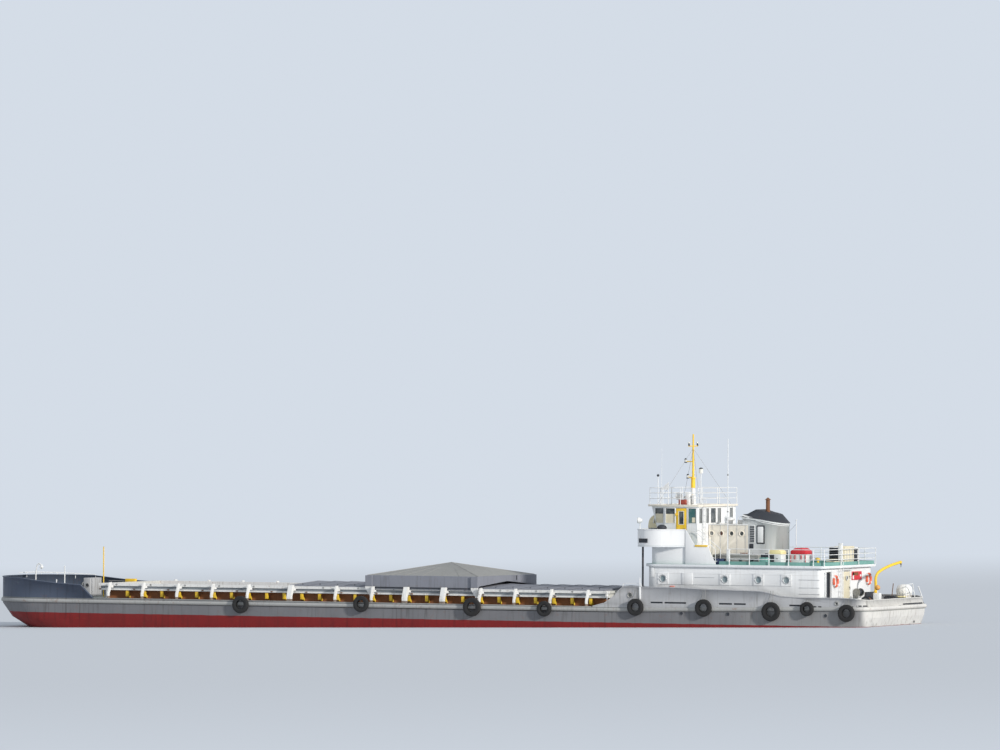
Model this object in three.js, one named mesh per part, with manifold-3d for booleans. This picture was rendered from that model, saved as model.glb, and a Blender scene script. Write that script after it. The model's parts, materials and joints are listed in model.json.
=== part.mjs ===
// River barge: a self-propelled dry-cargo barge with its house aft, as a half-size model.
// Every size below is the real barge's, in metres; MM turns it into the model's millimetres.
// X runs forward from 0.7 m forward of the transom, Y to port from the centreline, Z up from the flat bottom.
import * as THREE from "three";
import { mergeVertices } from "three/addons/utils/BufferGeometryUtils.js";
import Module from "manifold-3d";

const wasm = await Module();
wasm.setup();

const MM = 500; // model millimetres for each metre of the real barge
const GAP = 0.0006; // left between pieces that touch
const MOVE = 0.02; // clearance round pieces that move
const STERN = -0.7; // the transom at deck level
const BOW = 59.8; // the stem at deck level
const HALF_BEAM = 4.75;
const DECK = 2.45;
const PLATE = 0.05; // bulwarks and other single plating
const WALL = 0.1; // lined walls of the houses

const STERN_CORNER = 0.75;
const STERN_LEAN = 0.19; // how far the bulwark leans in at the transom
const STRAKE = { deep: 0.24, proud: 0.11 };
const BOW_LENGTH = 5.0;
const BOW_POWER = 2 / 2.6; // superellipse power of the spoon bow

const HOLD_FLOOR = 0.5;
const COAMING = { aft: 16.95, fore: 51.45, half: 3.5, plate: 0.08, top: 2.97 };
const BEAM = { aft: 16.7, fore: 51.7, half: 3.94, low: 2.97 + GAP, high: 3.39, groove: 0.1 };
const BRACKET = { first: 17.78, pitch: 1.228, count: 27, thick: 0.07, reach: 0.36, strut: 0.2 };
const STAY = {
  thin: 0.08, thick: 0.28, out: 4.62, foot: 0.24, knee: 2.78, under: 3.12, arm: 3.26, top: 3.46,
};
// Stays from the beam to the side deck, [x, thickness].
const STAYS = [
  [17.75, STAY.thin], [20.18, STAY.thin], [22.6, STAY.thin], [24.95, STAY.thin], [27.45, STAY.thick],
  [30.02, STAY.thick], [32.3, STAY.thin], [34.8, STAY.thin], [37.95, STAY.thick], [40.9, STAY.thin],
  [43.4, STAY.thin], [45.85, STAY.thin], [48.3, STAY.thin], [50.7, STAY.thin],
];

const TALL = {
  middle: 29.07, half: 3.83, wall: 4.03, out: 4.15, post: 0.45, foot: 3.48, low: 3.3,
  eaves: 4.13, apex: 4.9, sheet: 0.06,
};

const SHAFT = { y: 2.1, z: 0.74, radius: 0.07, tube: 0.11 };
const PROPELLER = { x: 2.25, radius: 0.54, hub: 0.13, length: 0.34, blades: 4 };
const RUDDER = { stock: 1.2, low: 0.2, high: 1.14, fore: 0.24, aft: 0.62, thick: 0.07 };
const TUNNEL = { radius: 0.66, straight: 3.0 };

const HOUSE = { aft: 2.6, fore: 14.2, half: 3.85, round: 0.8, tail: 0.38, low: DECK + GAP, high: 4.92 };
const PORTHOLE = { plate: 0.7, radius: 0.185, z: 4.2, relief: 0.03 };
const BOAT_DECK = { aft: 2.35, fore: 14.35, half: 4.0, round: 0.9, tail: 0.3, low: 4.92 + GAP, high: 5.08 };
const KERB = { aft: 2.5, fore: 9.3, half: 3.84, thick: 0.06, high: 5.28 };
const BRIDGE = { aft: 11.17, fore: 13.95, half: 3.8, round: 0.6, low: 5.08 + GAP, high: 6.1 };
const BRIDGE_DECK = { low: 6.1 + GAP, high: 6.18 };
const CABIN = { aft: 8.58, fore: 11.17 - GAP, half: 1.2, high: 7.45, porthole: 6.9, hole: 0.125 };
const FUNNEL = { fore: 8.95, round: 7.7, half: 1.2, overhang: 0.05, cap: 0.5, capHalf: 0.8, capFore: 8.25 };
// The funnel's wall top, [x, height], falling aft.
const FUNNEL_TOP = [[6.4, 7.45], [6.6, 7.48], [7.7, 7.69], [8.95, 8.07]];
const WHEELHOUSE = {
  aft: 11.2, fore: 14.1, lean: 0.35, half: 2.84, low: 6.18 + GAP, sill: 7.2, high: 8.5, wall: 0.08,
};
const CHAMFER = { x: 13.35, y: 2.3 }; // where the wheelhouse's cut corners start and end
const WINDOW = { low: 7.52, high: 8.4 };
const WING = { start: 11.5, wide: 13.2, half: 4.7, corner: 1.2, fore: 14.85, low: 6.18 + GAP, high: 7.17 };
const DOOR = { fore: 12.6, aft: 11.9, low: 6.26, high: 8.42, thick: 0.06 };
const HOUSE_DOOR = { port: 0.72, starboard: -0.33, low: 2.78, high: 4.7, thick: 0.06 };
const DOORWAY = [2.47, 3.25]; // the open doorway beside it, from y to y
const HINGE = { radius: 0.028, proud: 0.01 };

const finish = (color, roughness = 0.6, metalness = 0.1) => ({ color, roughness, metalness });
const WHITE = finish(0xe9e9e6);
const HULL_GREY = finish(0x8f979c);
const STRAKE_GREY = finish(0xb9bfc2);
const RUSTY = finish(0x6a3a2c, 0.8);
const PALE = finish(0xd5d4cc, 0.7);
const COVER_GREY = finish(0x9aa19c, 0.7);
const DECK_GREEN = finish(0x4f6b58, 0.8);
const YELLOW = finish(0xd9a527);
const CANVAS = finish(0xc9b78f, 0.9, 0);
const DARK = finish(0x25272a, 0.8);
const BRONZE = finish(0x9a7440, 0.4, 0.8);
const RED = finish(0xb53a2e);
const RUBBER = finish(0x1b1b1c, 0.9, 0);

const group = new THREE.Group();
group.position.x = (-(STERN + BOW) / 2) * MM;

// Turns a closed three.js geometry into a solid that can be cut and joined.
function solidOf(geometry) {
  const bare = geometry.clone();
  bare.deleteAttribute("normal");
  bare.deleteAttribute("uv");
  const merged = mergeVertices(bare, 1e-5);
  const triVerts = Uint32Array.from(merged.index.array);
  return new wasm.Manifold(
    new wasm.Mesh({ numProp: 3, vertProperties: merged.attributes.position.array, triVerts })
  );
}

// Adds one sub-part: its solid in metres, its finish, its place and its turn.
function add(name, solid, look, at = [0, 0, 0], turn = null) {
  const data = solid.getMesh();
  const geometry = new THREE.BufferGeometry();
  geometry.setAttribute("position", new THREE.BufferAttribute(Float32Array.from(data.vertProperties), 3));
  geometry.setIndex(new THREE.BufferAttribute(Uint32Array.from(data.triVerts), 1));
  geometry.scale(MM, MM, MM);
  geometry.computeVertexNormals();
  const mesh = new THREE.Mesh(geometry, new THREE.MeshStandardMaterial(look));
  mesh.name = name;
  mesh.position.set(at[0] * MM, at[1] * MM, at[2] * MM);
  if (turn) mesh.quaternion.copy(turn);
  group.add(mesh);
}

const join = (solids) => solids.reduce((a, b) => a.add(b));
const mirrored = (solid) => solid.mirror([0, 1, 0]);
const bothSides = (solid) => solid.add(mirrored(solid));

function box(x, y, z) {
  const geometry = new THREE.BoxGeometry(x[1] - x[0], y[1] - y[0], z[1] - z[0]);
  geometry.translate((x[0] + x[1]) / 2, (y[0] + y[1]) / 2, (z[0] + z[1]) / 2);
  return solidOf(geometry);
}

// Extrudes an outline along one axis; its points are (y, z), (x, z) or (x, y).
function prism(outline, axis, low, high) {
  const shape = new THREE.Shape(outline.map(([a, b]) => new THREE.Vector2(a, b)));
  const geometry = new THREE.ExtrudeGeometry(shape, { depth: high - low, bevelEnabled: false });
  if (axis === "x") {
    const [a, b, c] = [[0, 1, 0], [0, 0, 1], [1, 0, 0]].map((v) => new THREE.Vector3(...v));
    geometry.applyMatrix4(new THREE.Matrix4().makeBasis(a, b, c));
    geometry.translate(low, 0, 0);
  } else if (axis === "y") {
    geometry.rotateX(Math.PI / 2);
    geometry.translate(0, high, 0);
  } else {
    geometry.translate(0, 0, low);
  }
  return solidOf(geometry);
}

// A round bar from one point to another, tapered if it has two radii.
function bar(from, to, radius, sides = 6, endRadius = radius) {
  const a = new THREE.Vector3(...from);
  const b = new THREE.Vector3(...to);
  const geometry = new THREE.CylinderGeometry(endRadius, radius, a.distanceTo(b), sides);
  const up = new THREE.Vector3(0, 1, 0);
  const along = b.clone().sub(a).normalize();
  geometry.applyQuaternion(new THREE.Quaternion().setFromUnitVectors(up, along));
  geometry.translate((a.x + b.x) / 2, (a.y + b.y) / 2, (a.z + b.z) / 2);
  return solidOf(geometry);
}

// A bent pipe through a few points.
function pipe(points, radius, sides = 8, steps = 14) {
  const path = new THREE.CatmullRomCurve3(points.map((p) => new THREE.Vector3(...p)));
  const section = new THREE.Shape();
  section.absarc(0, 0, radius, 0, 2 * Math.PI);
  return solidOf(
    new THREE.ExtrudeGeometry(section, { steps, extrudePath: path, curveSegments: sides / 2 })
  );
}

// Turns a profile of (radius, height) points about Z.
function turned(profile, sides = 16) {
  const points = profile.map(([r, z]) => new THREE.Vector2(r, z));
  const geometry = new THREE.LatheGeometry(points, sides);
  geometry.rotateX(Math.PI / 2);
  return positive(geometry);
}

// Points the faces of a closed geometry outwards.
function positive(geometry) {
  const solid = solidOf(geometry);
  if (solid.volume() > 0) return solid;
  const merged = mergeVertices(geometry.deleteAttribute("normal").deleteAttribute("uv"), 1e-5);
  const index = Uint32Array.from(merged.index.array).reverse();
  merged.setIndex(new THREE.BufferAttribute(index, 1));
  return solidOf(merged);
}

// Skins like outlines: sections are lists of (a, b), and place(i, a, b) gives a point in space.
function loft(sections, place, closed = false) {
  const n = sections[0].length;
  const rings = closed ? sections.length : sections.length - 1;
  const index = [];
  for (let i = 0; i < rings; i++) {
    const next = (i + 1) % sections.length;
    for (let j = 0; j < n; j++) {
      const k = (j + 1) % n;
      index.push(i * n + j, i * n + k, next * n + k, i * n + j, next * n + k, next * n + j);
    }
  }
  const points = sections.map((outline) => outline.map(([a, b]) => new THREE.Vector2(a, b)));
  const anticlockwise = !THREE.ShapeUtils.isClockWise(points[0]);
  const cap = (ring, upwards) =>
    THREE.ShapeUtils.triangulateShape(points[ring], []).forEach(([a, b, c]) => {
      const up = THREE.ShapeUtils.area([a, b, c].map((v) => points[ring][v])) > 0;
      index.push(...(up === upwards ? [a, b, c] : [a, c, b]).map((v) => ring * n + v));
    });
  if (!closed) {
    cap(0, !anticlockwise);
    cap(sections.length - 1, anticlockwise);
  }
  const positions = sections.flatMap((outline, i) => outline.flatMap(([a, b]) => place(i, a, b)));
  const geometry = new THREE.BufferGeometry();
  geometry.setAttribute("position", new THREE.BufferAttribute(new Float32Array(positions), 3));
  geometry.setIndex(index);
  return positive(geometry);
}

// Gives each point of a path seen from above its sideways normal, to the left of the path.
function withNormals(points, closed) {
  const n = points.length;
  const edge = (i) => {
    const [a, b] = [points[(i + n) % n], points[(i + 1 + n) % n]];
    const length = Math.hypot(b[0] - a[0], b[1] - a[1]);
    return [-(b[1] - a[1]) / length, (b[0] - a[0]) / length];
  };
  return points.map(([x, y], i) => {
    const before = edge(closed || i > 0 ? i - 1 : i);
    const after = edge(closed || i < n - 1 ? i : i - 1);
    const mitre = 1 + before[0] * after[0] + before[1] * after[1];
    return { x, y, nx: (before[0] + after[0]) / mitre, ny: (before[1] + after[1]) / mitre };
  });
}

// Runs a section of (outward, height) points along a path seen from above.
function rail(points, section, closed = false) {
  const path = withNormals(points, closed);
  const place = (i, out, z) => [path[i].x + path[i].nx * out, path[i].y + path[i].ny * out, z];
  return loft(path.map(section), place, closed);
}

// The height at x in a table of [x, height] rows.
function heightAt(table, x) {
  const i = Math.max(1, table.findIndex((row) => row[0] >= x - 1e-6));
  const [[x0, z0], [x1, z1]] = [table[i - 1], table[i]];
  return z0 + ((z1 - z0) * (Math.max(x, x0) - x0)) / (x1 - x0);
}

const arc = (x, y, radius, from, to, steps) =>
  Array.from({ length: steps + 1 }, (_, i) => {
    const angle = ((from + ((to - from) * i) / steps) * Math.PI) / 180;
    return [x + radius * Math.cos(angle), y + radius * Math.sin(angle)];
  });

const reflected = (points) => points.slice().reverse().map(([x, y]) => [x, -y]);

const sternCurve = (stern, half) =>
  arc(stern + STERN_CORNER, half - STERN_CORNER, STERN_CORNER, 180, 90, 5);

const bowCurve = (tip, half) =>
  Array.from({ length: 10 }, (_, i) => {
    const t = (i * Math.PI) / 20;
    const x = tip - BOW_LENGTH + BOW_LENGTH * Math.sin(t) ** BOW_POWER;
    return [x, half * Math.cos(t) ** BOW_POWER];
  });

// The hull's outline at one height, clockwise from the transom's port corner, with points at stations.
function hullOutline(half, stern, tip, stations = []) {
  const port = [...sternCurve(stern, half), ...stations.map((x) => [x, half]), ...bowCurve(tip, half)];
  return [...port, [tip, 0], ...reflected(port)];
}

// A house's outline with its two fore corners rounded, and its aft corners too if they have a radius.
function houseOutline(aft, fore, half, round, inset = 0, tail = 0) {
  const corner = arc(fore - round, half - round, round - inset, 90, 0, 5);
  const end = tail ? arc(aft + tail, half - tail, tail - inset, 180, 90, 4) : [[aft + inset, half - inset]];
  const port = [...end, ...corner];
  return [...port, ...reflected(port)];
}

const ring = (outer, inner, low, high) =>
  prism(outer, "z", low, high).subtract(prism(inner, "z", low - 1, high + 1));

const rectangle = (aft, fore, half) => [[aft, -half], [fore, -half], [fore, half], [aft, half]];

function hull() {
  // [height, half beam, transom, stem]
  const levels = [
    [0, 4.5, 0.1, 55.9],
    [0.1, 4.68, 0.02, 56.5],
    [0.3, HALF_BEAM, -0.05, 57.4],
    [1.2, HALF_BEAM, -0.33, 59.1],
    [2.05, HALF_BEAM, STERN + 0.05, BOW],
    [DECK, HALF_BEAM, STERN, BOW],
  ];
  const outlines = levels.map(([, half, stern, tip]) => hullOutline(half, stern, tip));
  let body = loft(outlines, (i, x, y) => [x, y, levels[i][0]]);
  const { aft, fore, half, plate } = COAMING;
  const wide = half - plate;
  body = body.subtract(box([aft + plate, fore - plate], [-wide, wide], [HOLD_FLOOR, DECK + 1]));
  body = body.subtract(prism([[-1, -1], [6.4, -1], [6.4, 0], [-1, 0.5]], "y", -5, 5));

  // Tunnels over the screws, each a pointed arch that sinks into the bottom going forward.
  const arch = [[-TUNNEL.radius, -1], ...arc(0, SHAFT.z, TUNNEL.radius, 180, 0, 10), [TUNNEL.radius, -1]];
  // [x, how far the arch has sunk]
  const sunk = [[-1, 0], [TUNNEL.straight, 0], [4.4, 0.22], [6.2, 0.9], [8, 1.5]];
  const tunnel = loft(sunk.map(() => arch), (i, y, z) => [sunk[i][0], SHAFT.y + y, z - sunk[i][1]]);
  body = body.subtract(bothSides(tunnel));
  const tubeEnd = PROPELLER.x + PROPELLER.length / 2 + GAP;
  const tube = bar([tubeEnd, SHAFT.y, SHAFT.z], [7, SHAFT.y, SHAFT.z], SHAFT.tube, 12);
  const strutTop = SHAFT.z + TUNNEL.radius + 0.05;
  const strut = box([2.75, 3.0], [SHAFT.y - 0.03, SHAFT.y + 0.03], [SHAFT.z, strutTop]);
  const trunk = bar([RUDDER.stock, SHAFT.y, RUDDER.high + 0.06], [RUDDER.stock, SHAFT.y, 1.7], 0.13, 12);
  body = body.add(bothSides(join([tube, strut, trunk])));

  // Bollards in pairs on pads, [x, y] of each pad's middle.
  for (const [x, y] of [[1.3, 4.1], [15.6, 4.25], [52.9, 4.25]]) {
    const pad = box([x - 0.45, x + 0.45], [y - 0.2, y + 0.2], [DECK - 0.1, DECK + 0.05]);
    const posts = [-0.25, 0.25].map((dx) => bar([x + dx, y, DECK], [x + dx, y, DECK + 0.45], 0.1, 10));
    body = body.add(bothSides(join([pad, ...posts])));
  }
  return body;
}

// The strake's lower edge along the side, [x, height].
const SHEER = [
  [STERN, 2.47], [0.4, 2.45], [3.65, 2.395], [10.2, 2.28], [15.4, 2.185], [19.4, 2.15], [BOW, 2.13],
];

function rubbingStrake() {
  const { deep, proud } = STRAKE;
  // A half-round band, [out, height above its lower edge].
  const band = [
    [GAP, 0], [proud * 0.7, 0.02], [proud, deep * 0.4], [proud * 0.9, deep * 0.75],
    [proud * 0.5, deep * 0.97], [GAP, deep],
  ];
  const line = hullOutline(HALF_BEAM, STERN, BOW, SHEER.slice(1, -1).map(([x]) => x));
  return rail(line, ({ x }) => band.map(([out, z]) => [out, z + heightAt(SHEER, x)]), true);
}

// A bulwark's plate with its flat cap, top at z, leaning inwards.
const bulwarkSection = (z, lean = 0) => [
  [-PLATE, DECK + GAP], [0, DECK + GAP], [-lean, z - 0.04], [0.04 - lean, z - 0.04],
  [0.04 - lean, z], [-0.11 - lean, z], [-0.11 - lean, z - 0.04], [-PLATE - lean, z - 0.04],
];

// [x, top of the bulwark]
const BOW_TOP = [[51.7, 2.52], [52.55, 3.3], [54.2, 3.39], [55.4, 3.49], [56.9, 3.66], [BOW, 3.72]];
const AFT_TOP = [
  [STERN, 3.12], [0.13, 3.21], [1.09, 3.24], [3.67, 3.23], [4.9, 3.29], [5.81, 3.51], [6.26, 3.58],
  [10.18, 3.65], [11.49, 3.71], [15.2, 3.72], [15.53, 3.46], [15.76, 3.21], [16.18, 2.88],
  [16.44, 2.72], [17.22, 2.52],
];
// Freeing slots in the aft bulwark's sides, [aft, fore, middle height].
const SLOT_HEIGHT = 0.1;
const SIDE_SLOTS = [
  [12.59, 13.4, 2.78], [11.05, 12.48, 2.78], [8.05, 8.92, 2.77], [7.15, 7.93, 2.77],
  [3.22, 4.34, 2.74], [2.57, 3.03, 2.67], [2.25, 2.48, 2.67], [0.2, 0.45, 2.69],
];
// Slots round each stern corner, [aft, fore] and [inner, outer], and one in the transom to starboard only.
const CORNER_SLOTS = [[[-0.47, 0.06], [4.2, 5]], [[-1, -0.5], [4.22, 4.47]]];
const TRANSOM_SLOT = [-4.03, -0.23];
const STERN_SLOT = { low: 2.62, high: 2.72 };
const BULWARK_JOINT = 0.8; // where the plate beside the starboard side deck starts
// Round fairleads, [x, height, radius].
const FAIRLEADS = [[14.75, 3.2, 0.13], [1.27, 2.9, 0.09]];

function bowBulwark() {
  const port = [[51.7, HALF_BEAM], [52.55, HALF_BEAM], [54.2, HALF_BEAM], ...bowCurve(BOW, HALF_BEAM)];
  const path = [...port, [BOW, 0], ...reflected(port)];
  return rail(path, ({ x }) => bulwarkSection(heightAt(BOW_TOP, x)));
}

function aftBulwark() {
  const side = AFT_TOP.slice(1).reverse().map(([x]) => [x, HALF_BEAM]);
  const port = [...side, ...sternCurve(STERN, HALF_BEAM).reverse()];
  const path = reflected([...port, ...reflected(port)]).reverse();
  const lean = (x) => STERN_LEAN * Math.max(0, 1 - (x - STERN) / STERN_CORNER);
  let wall = rail(path, ({ x }) => bulwarkSection(heightAt(AFT_TOP, x), lean(x)));
  for (const [aft, fore, z] of SIDE_SLOTS) {
    wall = wall.subtract(box([aft, fore], [-6, 6], [z - SLOT_HEIGHT / 2, z + SLOT_HEIGHT / 2]));
  }
  const height = [STERN_SLOT.low, STERN_SLOT.high];
  for (const [x, y] of CORNER_SLOTS) {
    wall = wall.subtract(bothSides(box(x, y, height)));
  }
  wall = wall.subtract(box([STERN - 1, STERN + 0.5], TRANSOM_SLOT, height));
  const holes = FAIRLEADS.map(([x, z, radius]) => bar([x, -6, z], [x, 6, z], radius, 12));
  return wall.subtract(join(holes));
}

// A bar of the beam's height with the groove that runs round the whole beam.
function groovedBeam(x, y) {
  const { aft, fore, half, low, high, groove } = BEAM;
  const waist = rectangle(aft + groove, fore - groove, half - groove);
  const outside = ring(rectangle(aft - 1, fore + 1, half + 1), waist, 3.07, 3.23);
  return box(x, y, [low, high]).subtract(outside);
}

// The coaming's plates and brackets, with the beam's cross ends on top of its end plates.
function hatchCoaming() {
  const { aft, fore, half, plate, top } = COAMING;
  const inner = rectangle(aft + plate, fore - plate, half - plate);
  const plating = ring(rectangle(aft, fore, half), inner, DECK + GAP, top);
  const { first, pitch, count, thick, reach, strut } = BRACKET;
  // An open knee: a strut that slopes out from the plate's foot and then rises to the beam.
  const outline = [
    [half - 0.02, 2.5], [half + 0.12, 2.5], [half + reach, 2.8], [half + reach, top],
    [half + strut, top], [half + strut, 2.86], [half + 0.04, 2.66], [half - 0.02, 2.66],
  ];
  const brackets = Array.from({ length: count }, (_, i) => {
    const x = first + i * pitch;
    return prism(outline, "x", x - thick / 2, x + thick / 2);
  });
  const width = [plate - half + GAP, half - plate - GAP];
  const ends = [[BEAM.aft, aft + plate], [fore - plate, BEAM.fore]].map((x) => groovedBeam(x, width));
  const lap = [top - plate, BEAM.low + plate]; // heights over which the end plates run up into the beam
  const laps = [[aft, aft + plate], [fore - plate, fore]].map((x) => box(x, width, lap));
  return join([plating, bothSides(join(brackets)), ...ends, ...laps]);
}

// The beam along the port side, with the stays from it to the side deck.
function sideBeam() {
  const { aft, fore, half } = BEAM;
  const beam = groovedBeam([aft, fore], [COAMING.half - COAMING.plate, half]);
  const outline = [
    [half - 0.2, STAY.under], [half - 0.2, STAY.arm], [TALL.wall + 0.08, STAY.arm],
    [TALL.wall + 0.08, STAY.top], [STAY.out - 0.24, STAY.top], [STAY.out, STAY.knee],
    [STAY.out, DECK + GAP], [STAY.out - STAY.foot, DECK + GAP], [STAY.out - STAY.foot, STAY.knee],
    [STAY.out - 0.42, STAY.under],
  ];
  const stays = STAYS.map(([x, thick]) => prism(outline, "x", x - thick / 2, x + thick / 2));
  // Columns below the parked tall cover's corner posts, each with a slot for the cover's wall.
  for (const x of [TALL.middle - TALL.half, TALL.middle + TALL.half - TALL.post]) {
    const end = x + TALL.post;
    const column = [[x, 2.84], [x + 0.1, 2.84], [end, 3.34], [end, STAY.top], [x, STAY.top]];
    const track = box([x - 1, x + 1], [TALL.wall - 0.15, TALL.wall + 0.03], [STAY.arm, STAY.top + 1]);
    stays.push(prism(column, "y", half - 0.05, TALL.out).subtract(track));
  }
  return beam.add(join(stays));
}

const LOW = { half: 3.8, low: BEAM.high + GAP, eaves: 3.43, ridge: 3.62, sheet: 0.05 };

// The tall rolling cover, its middle at x = 0: four walls, a pyramid roof and a roller box at each corner.
function tallCover() {
  const { half, wall, out, post, foot, low, eaves, apex, sheet } = TALL;
  const tent = (x, y, bottom, shoulder, tip) => {
    const levels = [rectangle(-x, x, y), rectangle(-0.02, 0.02, 0.02)];
    const roof = loft(levels, (i, a, b) => [a, b, i ? tip : shoulder]);
    return box([-x, x], [-y, y], [bottom, shoulder]).add(roof);
  };
  let cover = tent(half, wall, low, eaves, apex);
  cover = cover.subtract(tent(half - sheet, wall - sheet, low - 1, eaves - sheet, apex - 2 * sheet));
  const mouth = [[-wall, low - 1], [-wall, 3.53], [0, 3.8], [wall, 3.53], [wall, low - 1]];
  const inside = mouth.map(([y, z]) => [y * ((wall - sheet) / wall), z]);
  cover = cover.subtract(prism(inside, "x", -half - 1, half + 1));
  for (const x of [-half + 0.35, half - 0.35]) {
    const roller = box([x - 0.3, x + 0.3], [LOW.half + 0.08, wall - sheet / 2], [LOW.low, 3.62]);
    cover = cover.add(bothSides(roller));
  }
  for (const x of [-half, half - post]) {
    cover = cover.add(bothSides(box([x, x + post], [wall - sheet / 2, out], [foot, eaves])));
  }
  return cover;
}

// A low gabled cover from x = 0 forward, open below.
function lowCover(length) {
  const { half, low, eaves, ridge, sheet } = LOW;
  const gable = (y, z0, z1, z2) => [[-y, z0], [-y, z1], [0, z2], [y, z1], [y, z0]];
  const outer = prism(gable(half, low, eaves, ridge), "x", 0, length);
  const inner = gable(half - sheet, low - 1, eaves - sheet / 2, ridge - sheet);
  return outer.subtract(prism(inner, "x", sheet, length - sheet));
}

function deckhouse() {
  const { aft, fore, half, round, tail, low, high } = HOUSE;
  const inner = houseOutline(aft, fore, half, round, WALL, tail);
  let walls = ring(houseOutline(aft, fore, half, round, 0, tail), inner, low, high);
  // Square plates on the sides; all but the second have a porthole.
  const size = PORTHOLE.plate / 2;
  for (const x of [12.98, 11.39, 8.92, 6.72, 4.91]) {
    const relief = [half - WALL / 2, half + PORTHOLE.relief];
    walls = walls.add(bothSides(box([x - size, x + size], relief, [PORTHOLE.z - size, PORTHOLE.z + size])));
    if (x === 11.39) continue;
    walls = walls.subtract(bar([x, -5, PORTHOLE.z], [x, 5, PORTHOLE.z], PORTHOLE.radius, 16));
  }
  const { port, starboard } = HOUSE_DOOR;
  walls = walls.subtract(box([aft - 1, aft + 0.3], [starboard, port], [HOUSE_DOOR.low, HOUSE_DOOR.high]));
  return walls.subtract(box([aft - 1, aft + 0.3], DOORWAY, [HOUSE_DOOR.low, HOUSE_DOOR.high]));
}

// The boat deck with a low kerb round its open aft part.
function boatDeck() {
  const { aft, fore, half, round, tail, low, high } = BOAT_DECK;
  const deck = prism(houseOutline(aft, fore, half, round, 0, tail), "z", low, high);
  const inner = rectangle(KERB.aft + KERB.thick, KERB.fore + 1, KERB.half - KERB.thick);
  const kerb = ring(rectangle(KERB.aft, KERB.fore, KERB.half), inner, high - 0.02, KERB.high);
  return deck.add(kerb);
}

function bridgeHouse() {
  const { aft, fore, half, round, low, high } = BRIDGE;
  const inner = houseOutline(aft, fore, half, round, WALL);
  return ring(houseOutline(aft, fore, half, round), inner, low, high);
}

// The wing bulwark's line, clockwise from its port end.
function wingLine() {
  const { start, wide, half, corner, fore } = WING;
  const port = [[start, HOUSE.half]];
  for (let i = 1; i <= 4; i++) {
    const swell = (1 - Math.cos((i * Math.PI) / 4)) / 2;
    port.push([start + ((wide - start) * i) / 4, HOUSE.half + (half - HOUSE.half) * swell]);
  }
  port.push(...arc(fore - 0.15 - corner, half - corner, corner, 80, 10, 4));
  port.push([fore - 0.05, 1.8], [fore, 0.6]);
  return [...port, ...reflected(port)];
}

function bridgeDeck() {
  const outline = [[BRIDGE.aft, HOUSE.half], ...wingLine(), [BRIDGE.aft, -HOUSE.half]];
  return prism(outline, "z", BRIDGE_DECK.low, BRIDGE_DECK.high);
}

function wingBulwark() {
  const { low, high } = WING;
  const cap = high - 0.05;
  const section = [
    [-PLATE, low], [0, low], [0, cap], [0.03, cap], [0.03, high], [-0.08, high], [-0.08, cap], [-PLATE, cap],
  ];
  return rail(wingLine(), () => section);
}

// The plate beside each ladder to the bridge, with the ladder's treads and inner string.
function ladderSide() {
  const low = BOAT_DECK.high + GAP;
  const y = HOUSE.half + GAP;
  const cheek = [[9.51, low], [10.04, 6.19], [10.86, 6.19], [11.49, 7.17], [11.49, low]];
  let ladder = prism(cheek, "y", y, y + PLATE);
  const string = [[9.55, low], [9.85, low], [11.1, 6.16], [10.8, 6.16]];
  ladder = ladder.add(prism(string, "y", 3.06, 3.11));
  for (let i = 0; i < 5; i++) {
    const [x, z] = [9.82 + i * 0.23, low + 0.17 + i * 0.195];
    ladder = ladder.add(box([x - 0.11, x + 0.11], [3.08, y + 0.02], [z, z + 0.04]));
  }
  return ladder;
}

// The cabin on the centreline, open forward where it meets the bridge house.
function aftCabin() {
  const { aft, fore, half, high, porthole, hole } = CABIN;
  const low = BOAT_DECK.high + GAP;
  let cabin = box([aft, fore], [-half, half], [low, high]);
  cabin = cabin.subtract(box([aft + WALL, fore + 1], [WALL - half, half - WALL], [low - 1, high - WALL]));
  for (const x of [10.98, 10.35, 9.67, 9.0]) {
    cabin = cabin.subtract(bar([x, -half - 1, porthole], [x, half + 1, porthole], hole, 16));
  }
  return cabin;
}

// The engine casing aft of the cabin, round at its aft end, its top falling aft, with a hood over it.
function funnel() {
  const { fore, round, half, overhang, cap, capHalf, capFore } = FUNNEL;
  const curve = (radius) => arc(round, 0, radius, 90, 270, 12);
  const plan = (front, radius) => [[front, radius], ...curve(radius), [front, -radius]];
  const low = BOAT_DECK.high + GAP;
  const upper = CABIN.high + GAP;
  const casing = prism(plan(CABIN.aft - GAP, half), "z", low, upper + 0.01).add(
    loft([plan(fore, half), plan(fore, half)], (i, x, y) => [x, y, i ? heightAt(FUNNEL_TOP, x) : upper])
  );
  const eaves = plan(fore + overhang, half + overhang);
  const hood = [eaves, eaves, plan(capFore, capHalf)];
  const rise = [-0.02, 0.06, cap];
  return casing.add(loft(hood, (i, x, y) => [x, y, heightAt(FUNNEL_TOP, x) + rise[i]]));
}

function wheelhouseOutline(inset, lean) {
  const { aft, fore, half } = WHEELHOUSE;
  const port = [[aft + inset, half - inset], [CHAMFER.x - inset / 3, half - inset],
    [fore + lean - inset, CHAMFER.y - inset / 2]];
  return [...port, ...reflected(port)];
}

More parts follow.
